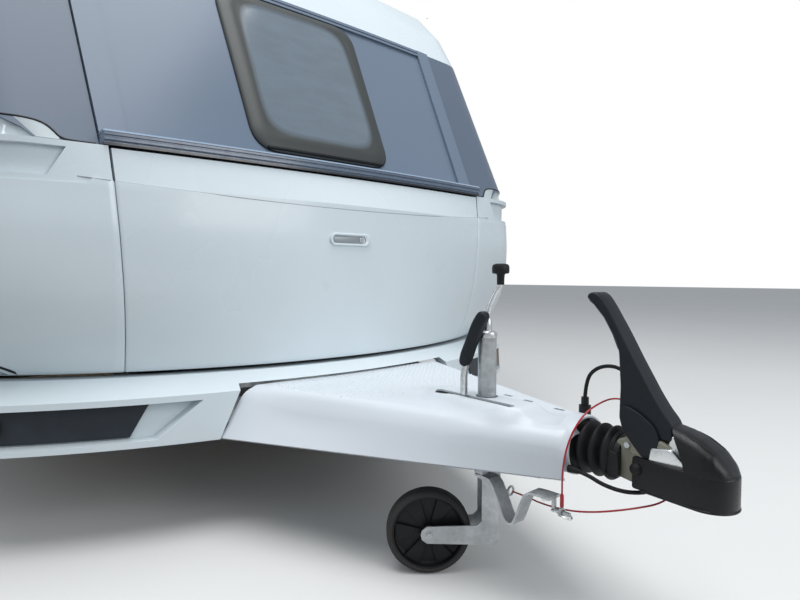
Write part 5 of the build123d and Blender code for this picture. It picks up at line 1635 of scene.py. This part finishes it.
class CARAVAN_OT_cable_bracket(bpy.types.Operator):
    """Makes the bent strip under the drawbar with its guide ring, and the clip and ring of the red cable"""

    bl_idname = "caravan.cable_bracket"
    bl_label = "Cable bracket"

    def execute(self, context):
        line = metres(
            (813, 287), (838, 288), (856, 286), (866, 276), (886, 240), (899, 214), (908, 203), (920, 199.5),
            (932, 205), (940, 222), (954, 258), (964, 281), (976, 290), (1000, 292), (1030, 292.5),
        )
        fine = []
        for start, end in zip(line, line[1:]):
            fine += [Vector(start), Vector(start).lerp(Vector(end), 0.5)]
        fine.append(Vector(line[-1]))
        grid = [[at(spot.x, left, spot.y) for left in (-0.135, -0.134, -0.096, -0.095)] for spot in fine]

        def inward(row, column):
            way = (fine[min(row + 1, len(fine) - 1)] - fine[max(row - 1, 0)]).normalized()
            return Vector((-way.y, 0.0, way.x)) * 0.0055

        strip = skin(grid, inward)
        outline = metres((-135, 294), (-115.5, 294), (-115.5, 312), (-135, 312))
        lug = slab(soften(outline, 0.002), 0.814, 0.838, seen_from_ahead)
        peg_down = slab(shifted(rounded_box(0.008, 0.01, 0.002, 3), 1.02, -0.103), 0.258, 0.297, seen_from_above)
        peg_out = slab(shifted(rounded_box(0.01, 0.008, 0.002, 3), -0.103, 0.262), 1.018, 1.06, seen_from_ahead)
        bracket = gather("cable_bracket_strip", [strip, lug, peg_down, peg_out], "galvanised", crease=30.0)
        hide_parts("strip_bracket")
        guide = hoops([(0.867, 0.0105)], level_axis(-0.062, 0.247), 24)[0]
        add_bar("cable_guide_ring", guide, 0.0028, "galvanised", closed=True)
        arm = [at(0.867, -0.072, 0.25), at(0.867, -0.082, 0.252), at(0.867, -0.096, 0.252), at(0.871, -0.1, 0.262)]
        add_bar("cable_guide_arm", arm, 0.003, "galvanised")
        clip = metres(
            (1036, -112, 262), (1046, -118, 262), (1058, -118, 259), (1066, -112, 257), (1067, -104, 257),
            (1060, -98, 259), (1050, -100, 261), (1042, -106, 262), (1030, -108, 262), (1018, -112, 262),
        )
        add_bar("cable_clip_wire", [at(*spot) for spot in clip], 0.0018, "bright_zinc")
        heads = [shifted(disc(0.009, 6), ahead, -0.115) for ahead in (0.828, 1.004)]
        nuts = [slab(head, 0.281, 0.2885, seen_from_above) for head in heads]
        gather("cable_bracket_nuts", nuts, "bright_zinc")
        sleeve = metres((273.5, 3.5), (275, 4.2), (300, 4.2), (303, 3))
        gather("cable_end_sleeve", [turned(sleeve, upright(1.04, -0.103), 20)], "red_cable")
        return {"FINISHED"}


class CARAVAN_OT_road_wheels(bpy.types.Operator):
    """Makes the road tyres with their tread blocks, and each wheel's nuts, cap and valve"""

    bl_idname = "caravan.road_wheels"
    bl_label = "Road wheels"

    def execute(self, context):
        for side, word in SIDES:
            centre = at(-2.48, side * 1.0, 0.32)
            matrix = Matrix.Translation(centre) @ Matrix.Rotation(-side * pi / 2, 4, "X")
            self.add_tyre(word, matrix, context.scene.caravan_sizes.tread_blocks)
            self.add_nuts(word, matrix)
        return {"FINISHED"}

    def add_tyre(self, word, matrix, count):
        half = metres(
            (71, 192), (78, 198), (83.5, 206), (85, 208.5), (85.5, 211.5), (90, 228), (91.8, 230), (92.5, 246),
            (91.5, 264), (89.5, 280), (88, 281.5), (86.5, 290), (81, 302), (70, 311), (56, 312.5), (52, 312.5),
            (50.5, 310.5), (46.5, 310.5), (45, 312.5), (22, 313), (20.5, 311), (16.5, 311), (15, 313),
        )
        profile = half + [(-along, radius) for along, radius in half[::-1]]
        rings = hoops(profile, on_axle(matrix), 96)
        body = f"wheel_{word}"
        tyre = gather(f"road_tyre_{word}", [band_of(rings)], "tyre", body, 30.0)
        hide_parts(f"tyre_{word}")
        blocks = []
        for inner, outer, skew in metres(
            (55, 79.5, 0), (23.5, 43.5, 3.5), (-13, 13, 0), (-43.5, -23.5, -3.5), (-79.5, -55, 0),
        ):
            corners = [(-0.0125 - skew, inner), (0.0125 - skew, inner), (0.0125 + skew, outer), (-0.0125 + skew, outer)]
            drop = [0.0045 if abs(along) > 0.07 else 0.0 for _, along in corners]
            low = [Vector((0.3095 - fall, around, along)) for (around, along), fall in zip(corners, drop)]
            high = [Vector((0.3185 - fall, around * 0.94, along)) for (around, along), fall in zip(corners, drop)]
            blocks.append(capped_form([low, high]))
        add_ring(f"tread_{word}", blocks, count, 0.0, matrix, "tyre", body)

    def add_nuts(self, word, matrix):
        body = f"wheel_{word}"
        washer = slab(disc(0.0135, 24), 0.0125, 0.015, as_drawn, 0.0008)
        nut = slab(disc(0.011, 6), 0.015, 0.03, as_drawn, 0.002, 2)
        add_ring(f"wheel_nuts_{word}", [washer, nut], 5, 0.054, matrix, "bright_zinc", body)
        cap = metres((46, 30), (49.5, 29), (51.5, 26.5), (52.5, 24), (51.2, 22.5), (50.8, 15), (52, 6), (52.2, 1))
        cover = turned(cap, on_axle(matrix), 40)
        gather(f"wheel_cap_{word}", [cover], "black_plastic", body)
        stem = metres((26, 3.5), (34, 4.5), (50, 3.6), (52, 4.2), (60, 4.2), (61.5, 3))
        valve = turned(stem, on_axle(matrix, 0.146), 20)
        gather(f"wheel_valve_{word}", [valve], "black_rubber", body)


def add_window(name, width, height, radius, place, body, node=None):
    """A hinged acrylic window: its rubber seal and the blown pane with a flat border."""
    seal = slab(rounded_box(width, height, radius, 8), 0.0, 0.0085, place, 0.003)
    gather(f"{name}_seal", [seal], "black_rubber", body)
    rings = [[place(*point, 0.007) for point in rounded_box(width - 0.016, height - 0.016, radius - 0.006, 8)]]
    for inset, rise in (
        (0.007, 0.008), (0.008, 0.0135), (0.012, 0.0155), (0.034, 0.016), (0.044, 0.012), (0.056, 0.0118),
        (0.07, 0.0135), (0.11, 0.0155), (min(width, height) * 0.4, 0.0165),
    ):
        inner = min(max(radius - inset * 0.8, 0.016), (min(width, height) / 2 - inset) * 0.95)
        outline = rounded_box(width - 2 * inset, height - 2 * inset, inner, 8)
        rings.append([place(*point, rise) for point in outline])
    pane = gather(f"{name}_pane", [capped_form(rings)], "front_pane", body, 60.0)
    if node:
        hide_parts(node)


class CARAVAN_OT_windows(bpy.types.Operator):
    """Makes the hinged acrylic windows of the sides, the rear and the door"""

    bl_idname = "caravan.windows"
    bl_label = "Windows"

    def execute(self, context):
        openings = (
            (1, 0.74, 1.56, 1.22, 1.76), (1, 2.0, 2.8, 1.32, 1.76), (1, 3.25, 4.1, 1.22, 1.76),
            (-1, 0.74, 1.36, 1.22, 1.76), (-1, 2.35, 2.95, 1.32, 1.76), (-1, 3.25, 4.1, 1.22, 1.76),
        )
        for number, (side, front, rear, bottom, top) in enumerate(openings):
            def place(u, v, w, side=side, middle=-(front + rear) / 2, level=(bottom + top) / 2):
                return at(middle - side * u, side * (1.1505 + w), level + v)

            add_window(
                f"side_window_{number + 1}", rear - front + 0.052, top - bottom + 0.052, 0.078, place, "caravan",
                None if number else "side_windows",
            )
        skins = skin_of("rear_window")

        def behind(u, v, w):
            lean = self.rear_face(skins, 0.0, max(min(1.525 + v, 1.82), 1.23))
            bow = self.rear_face(skins, max(min(u, 0.64), -0.64), 1.525) - self.rear_face(skins, 0.0, 1.525)
            return Vector((lean + bow + 0.01 - w, u, 1.525 + v))

        add_window("rear_window", 1.292, 0.602, 0.088, behind, "caravan", "rear_window")
        add_window(
            "door_window", 0.446, 0.596, 0.062, lambda u, v, w: at(-1.77 + u, -(1.1535 + w * 0.9), 1.615 + v),
            "entrance_door", "door_window",
        )
        return {"FINISHED"}

    def rear_face(self, skins, left, up):
        return land(skins, Vector((BEHIND, left, up)), Vector((1.0, 0.0, 0.0))).x


class CARAVAN_OT_rear_lamps(bpy.types.Operator):
    """Makes the rear lamp clusters, each with four round lamps, and the high brake lamp"""

    bl_idname = "caravan.rear_lamps"
    bl_label = "Rear lamps"

    def execute(self, context):
        skins = skin_of("rear_lamps")

        def place(left, up, out):
            inside = copysign(max(min(abs(left), 1.105), 0.835), left) if up < 1.5 else left
            start = Vector((BEHIND, inside, 0.7 if up < 1.5 else 1.9625))
            return Vector((land(skins, start, Vector((1.0, 0.0, 0.0))).x + 0.004 - out, left, up))

        plates = []
        for side in (1, -1):
            corners = [(side * 0.83, 0.59), (side * 1.11, 0.56), (side * 1.11, 0.82), (side * 0.83, 0.79)]
            plates.append(slab(soften(corners, 0.03, 5), -0.01, 0.004, place, 0.002))
        plate = gather("rear_lamp_plates", plates, "black_plastic")
        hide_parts("rear_lamps")
        spots = (
            ("rear_lamp_brake", "lamp_red", 1.04, 0.752, 0.05),
            ("rear_lamp_turn", "lamp_amber", 1.04, 0.636, 0.046),
            ("rear_lamp_reverse", "lamp_clear", 0.925, 0.642, 0.044),
            ("rear_lamp_fog", "lamp_red", 0.925, 0.744, 0.044),
        )
        for name, finish, left, up, radius in spots:
            forms = []
            bezels = []
            face = [
                (0.003, radius), (0.008, radius), (0.0105, radius * 0.94), (0.0122, radius * 0.75),
                (0.0135, radius * 0.4), (0.0138, 0.001),
            ]
            rim = [
                (0.003, radius + 0.006), (0.0075, radius + 0.005), (0.0085, radius + 0.0025), (0.0075, radius),
                (0.003, radius),
            ]
            for side in (1, -1):
                def about(out, a, b, middle=side * left, height=up):
                    return place(middle + a, height + b, out)

                forms.append(turned(face, about, 40))
                bezels.append(band_of(hoops(rim, about, 40)))
            gather(name, forms, finish, crease=50.0)
            gather(f"{name}_rims", bezels, "bright_zinc", crease=50.0)
        bar = shifted(rounded_box(0.3, 0.025, 0.011), 0.0, 1.9625)
        gather("rear_brake_lamp", [slab(bar, -0.012, 0.004, place, 0.003)], "lamp_red")
        return {"FINISHED"}


class CARAVAN_OT_fittings(bpy.types.Operator):
    """Makes the awning rails' screws, the door's handle and hinge pins, and the hatch's locks"""

    bl_idname = "caravan.fittings"
    bl_label = "Fittings"

    def execute(self, context):
        self.add_screws(context.scene.caravan_sizes.screw_spacing)
        self.add_door_handle()
        self.add_hatch_locks()
        return {"FINISHED"}

    def add_screws(self, spacing):
        tree = row_tree()
        low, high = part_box("awning_rails")
        level = high[2] - 0.01
        screw = metres((-0.6, 4.2), (0.2, 4.2), (1.6, 3.4), (2.2, 1.8), (2.3, 0.4))
        for side, word in SIDES:
            stamp = add_stamp([turned(screw, lambda along, a, b: Vector((a, along * side, b)), 14)])
            path = bpy.data.curves.new("rail_path", "CURVE")
            path.dimensions = "3D"
            spline = path.splines.new("POLY")
            spline.points.add(1)
            spline.points[0].co = (high[0] - 0.3, side * high[1], level, 1.0)
            spline.points[1].co = (low[0] + 0.3, side * high[1], level, 1.0)
            holder = link("rail_path", path)
            name = f"awning_screws_{word}"
            mesh = tree.make(name, Piece=stamp, Path=holder, Spacing=spacing, Finish=PALETTE["bright_zinc"])
            for used in (holder, stamp):
                bpy.data.objects.remove(used)
            add_object(name, mesh, "bright_zinc", crease=50.0)

    def add_door_handle(self):
        back = -2.0

        def outward(ahead, up, out):
            return at(ahead, -out, up)

        plate = slab(shifted(rounded_box(0.064, 0.124, 0.02), back, 1.15), 1.152, 1.158, outward, 0.002)
        gather("door_handle_plate", [plate], "black_plastic", "entrance_door")
        pull = slab(shifted(rounded_box(0.04, 0.072, 0.012), back + 0.002, 1.158), 1.1775, 1.1818, outward, 0.002)
        gather("door_handle_pull", [pull], "silver_paint", "entrance_door")
        barrel = metres((1177.5, 8), (1180.5, 8.5), (1181.5, 7.5), (1181.7, 1))
        lock = turned(barrel, lambda along, a, b: at(back + a, -along, 1.106 + b), 24)
        gather("door_handle_lock", [lock], "bright_zinc", "entrance_door")
        for level in (0.7, 2.05):
            ends = metres((-46, 3.5), (-45, 5), (45, 5), (46, 3.5))
            pin = turned([(level + rise, radius) for rise, radius in ends], upright(-1.48, -1.164), 18)
            gather(f"door_hinge_pin_{int(level * 100)}", [pin], "bright_zinc", "entrance_door")

    def add_hatch_locks(self):
        knob = metres((1153.5, 15), (1156, 15), (1159, 13.5), (1160, 11), (1160.2, 1))
        forms = [
            turned(knob, lambda along, a, b, back=back: at(-back + a, along, 0.868 + b), 28) for back in (3.63, 3.89)
        ]
        gather("service_hatch_locks", forms, "white_moulding", "service_hatch")


def add_cushion(name, low, high):
    """A padded cushion: a rounded block, swollen by cloth pressure."""
    inset = 0.009
    form = bmesh.new()
    bmesh.ops.create_cube(form, size=1.0)
    for vertex in form.verts:
        vertex.co = [
            start + inset + (vertex.co[axis] + 0.5) * (end - start - 2 * inset)
            for axis, (start, end) in enumerate(zip(low, high))
        ]
    bmesh.ops.bevel(form, geom=form.edges, offset=0.02, segments=3, profile=0.5, affect="EDGES")
    mesh = bpy.data.meshes.new(name)
    form.to_mesh(mesh)
    form.free()
    holder = link(name, mesh)
    remesh = holder.modifiers.new("remesh", "REMESH")
    remesh.mode = "VOXEL"
    remesh.voxel_size = max(0.008, min(0.018, (high[0] - low[0]) / 90))
    start = settled(holder)
    holder.modifiers.clear()
    holder.data = start
    holder.data = swell(holder, start)
    pad = holder.data
    bpy.data.objects.remove(holder)
    soft = bmesh.new()
    soft.from_mesh(pad)
    bmesh.ops.smooth_vert(soft, verts=soft.verts, factor=0.5, use_axis_x=True, use_axis_y=True, use_axis_z=True)
    for vertex in soft.verts:
        for axis in range(3):
            vertex.co[axis] = min(max(vertex.co[axis], low[axis] - 0.004), high[axis] + 0.004)
        vertex.co.z = max(vertex.co.z, low[2] + 0.001)
    soft.to_mesh(pad)
    soft.free()
    cushion = add_object(name, pad, "fabric", crease=80.0)
    return cushion


def swell(holder, start):
    """Blows a pad up with cloth pressure and caps how far any point may move."""
    scene = bpy.context.scene
    cloth = holder.modifiers.new("cloth", "CLOTH")
    cloth.settings.use_pressure = True
    cloth.settings.uniform_pressure_force = 4.0
    cloth.settings.effector_weights.gravity = 0.0
    cloth.settings.quality = 4
    frames = 20
    cloth.point_cache.frame_start = 1
    cloth.point_cache.frame_end = frames
    for moment in range(1, frames + 1):
        scene.frame_set(moment)
        bpy.context.view_layer.update()
    swollen = settled(holder)
    holder.modifiers.clear()
    scene.frame_set(1)
    cap = 0.024
    for vertex, origin in zip(swollen.vertices, start.vertices):
        move = vertex.co - origin.co
        if move.length > cap:
            vertex.co = origin.co + move.normalized() * cap
    return swollen


def add_piping(name, cushion, low, high, level):
    """Piping that lies on a cushion's skin along its edge at one level."""
    skins = skin_of(cushion.name)
    outline = rounded_box(high[0] - low[0] - 0.02, high[1] - low[1] - 0.02, 0.03, 5)
    dense = []
    for index, corner in enumerate(outline):
        after = outline[(index + 1) % len(outline)]
        parts = max(int((after - corner).length / 0.05), 1)
        dense += [corner.lerp(after, share / parts) for share in range(parts)]
    middle = (low + high) / 2
    route = [skins.find_nearest(Vector((middle.x + spot.x, middle.y + spot.y, level)))[0] for spot in dense]
    add_bar(name, route, 0.0035, "piping", closed=True)


class CARAVAN_OT_cushions(bpy.types.Operator):
    """Makes the seat, back and bed cushions of the cabin"""

    bl_idname = "caravan.cushions"
    bl_label = "Cushions"

    def execute(self, context):
        blocks = []
        base = 0.8
        for side, word in SIDES:
            for name, inner, outer, top in (("seat_cushion", 0.58, 1.0, 0.9), ("back_cushion", 1.005, 1.1, 1.22)):
                near, far = sorted((side * inner, side * outer))
                blocks.append((f"{name}_{word}", at(-1.45, near, base), at(-0.56, far, top)))
        blocks.append(("bed_cushion", at(-4.41, -1.09, base), at(-3.31, 0.31, 0.92)))
        for number, (name, low, high) in enumerate(blocks):
            cushion = add_cushion(name, low, high)
            if number == 0:
                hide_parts("cushions")
            add_piping(f"{name}_piping", cushion, low, high, high[2] - 0.016)
        return {"FINISHED"}


class CARAVAN_OT_stage(bpy.types.Operator):
    """Makes the plain floor, the soft studio light and the camera at the photograph's view"""

    bl_idname = "caravan.stage"
    bl_label = "Stage"

    def execute(self, context):
        reach = 40.0
        corners = [(-reach, -reach, 0.0), (reach, -reach, 0.0), (reach, reach, 0.0), (-reach, reach, 0.0)]
        floor = link("floor", make_mesh("floor", corners, [(0, 1, 2, 3)]))
        floor.data.materials.append(make_finish("studio_floor", self.floor_paint, (), {"Roughness": 0.8}))
        self.light_studio(context)
        self.place_camera(context)
        return {"FINISHED"}

    def ray_kinds(self, tree):
        """Which rays are the camera's, mirrored or through glass."""
        rays = tree.nodes.new("ShaderNodeLightPath")
        kinds = ("Is Camera Ray", "Is Glossy Ray", "Is Transmission Ray")
        return [Signal(tree, rays.outputs[kind]) for kind in kinds]

    def floor_paint(self, place):
        """Pale where it is looked at or mirrored, and darker where its light would fall on the caravan."""
        seen, shine, through = self.ray_kinds(place.tree)
        cloud = place.noise(0.6, 3.0).tint((0.7, 0.7, 0.69), (0.76, 0.76, 0.75))
        return {"Base Color": (seen + shine + through).capped().tint((0.26, 0.26, 0.26), cloud)}

    def light_studio(self, context):
        world = bpy.data.worlds.new("studio")
        context.scene.world = world
        world.use_nodes = True
        tree = world.node_tree
        tree.nodes.clear()
        seen, shine, through = self.ray_kinds(tree)
        plain = (seen + through).capped()
        light = plain.node("ShaderNodeBackground", {"Color": (0.82, 0.88, 0.95, 1.0), "Strength": 0.5})
        white = plain.node("ShaderNodeBackground", {"Color": (1.0, 1.0, 1.0, 1.0), "Strength": 1.0})
        pale = plain.node("ShaderNodeBackground", {"Color": (0.84, 0.9, 0.97, 1.0), "Strength": 0.55})
        mirror = shine.node("ShaderNodeMixShader", {0: shine, 1: light, 2: pale})
        result = plain.node("ShaderNodeMixShader", {0: plain, 1: mirror, 2: white})
        output = tree.nodes.new("ShaderNodeOutputWorld")
        tree.links.new(result.socket, output.inputs["Surface"])
        self.add_lamp("sky_lamp", (2.5, -1.0, 7.5), (1.2, 0.0, 0.5), 5.0, 400.0)
        self.add_lamp("front_lamp", (7.5, 1.2, 3.0), (1.5, 0.0, 0.9), 3.0, 125.0)
        self.add_lamp("side_lamp", (0.0, -8.0, 4.0), (0.0, 0.0, 1.0), 4.0, 45.0)

    def add_lamp(self, name, place, target, size, power):
        light = bpy.data.lights.new(name, "AREA")
        light.shape = "SQUARE"
        light.size = size
        light.energy = power
        lamp = link(name, light)
        lamp.location = place
        aim = Vector(target) - Vector(place)
        lamp.rotation_euler = aim.to_track_quat("-Z", "Y").to_euler()

    def place_camera(self, context):
        lens_data = bpy.data.cameras.new("photograph")
        lens_data.sensor_width = 36.0
        lens_data.lens = 24.6
        camera = link("photograph", lens_data)
        camera.location = (3.4075, -1.13, 0.779)
        camera.rotation_euler = (radians(87.52), 0.0, radians(50.12))
        context.scene.camera = camera
        context.scene.view_settings.view_transform = "Standard"


class CARAVAN_PT_panel(bpy.types.Panel):
    """Lists the caravan's colours, sizes and makers"""

    bl_idname = "CARAVAN_PT_panel"
    bl_label = "Travel Caravan"
    bl_space_type = "VIEW_3D"
    bl_region_type = "UI"
    bl_category = "Caravan"

    def draw(self, context):
        for group in (context.scene.caravan_colours, context.scene.caravan_sizes):
            for key in group.__annotations__:
                self.layout.prop(group, key)
        for maker in MAKERS:
            self.layout.operator(maker.bl_idname)


MAKERS = [
    CARAVAN_OT_body_finishes,
    CARAVAN_OT_front_skin,
    CARAVAN_OT_front_window,
    CARAVAN_OT_front_trim,
    CARAVAN_OT_drawbar_cover,
    CARAVAN_OT_gaiter,
    CARAVAN_OT_coupling,
    CARAVAN_OT_jockey,
    CARAVAN_OT_handbrake,
    CARAVAN_OT_cable_bracket,
    CARAVAN_OT_road_wheels,
    CARAVAN_OT_windows,
    CARAVAN_OT_rear_lamps,
    CARAVAN_OT_fittings,
    CARAVAN_OT_cushions,
    CARAVAN_OT_cords,
    CARAVAN_OT_stage,
]
SETTINGS = [CaravanColours, CaravanSizes]


def register():
    for kind in SETTINGS + MAKERS + [CARAVAN_PT_panel]:
        bpy.utils.register_class(kind)
    bpy.types.Scene.caravan_colours = PointerProperty(type=CaravanColours)
    bpy.types.Scene.caravan_sizes = PointerProperty(type=CaravanSizes)


def unregister():
    del bpy.types.Scene.caravan_sizes
    del bpy.types.Scene.caravan_colours
    for kind in [CARAVAN_PT_panel] + MAKERS[::-1] + SETTINGS[::-1]:
        bpy.utils.unregister_class(kind)


def main():
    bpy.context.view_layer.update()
    register()
    bpy.ops.caravan.body_finishes()
    bpy.ops.caravan.front_skin()
    bpy.ops.caravan.front_window()
    bpy.ops.caravan.front_trim()
    bpy.ops.caravan.drawbar_cover()
    bpy.ops.caravan.gaiter()
    bpy.ops.caravan.coupling()
    bpy.ops.caravan.jockey()
    bpy.ops.caravan.handbrake()
    bpy.ops.caravan.cable_bracket()
    bpy.ops.caravan.road_wheels()
    bpy.ops.caravan.windows()
    bpy.ops.caravan.rear_lamps()
    bpy.ops.caravan.fittings()
    bpy.ops.caravan.cushions()
    bpy.ops.caravan.cords()
    bpy.ops.caravan.stage()


if __name__ == "__main__":
    main()
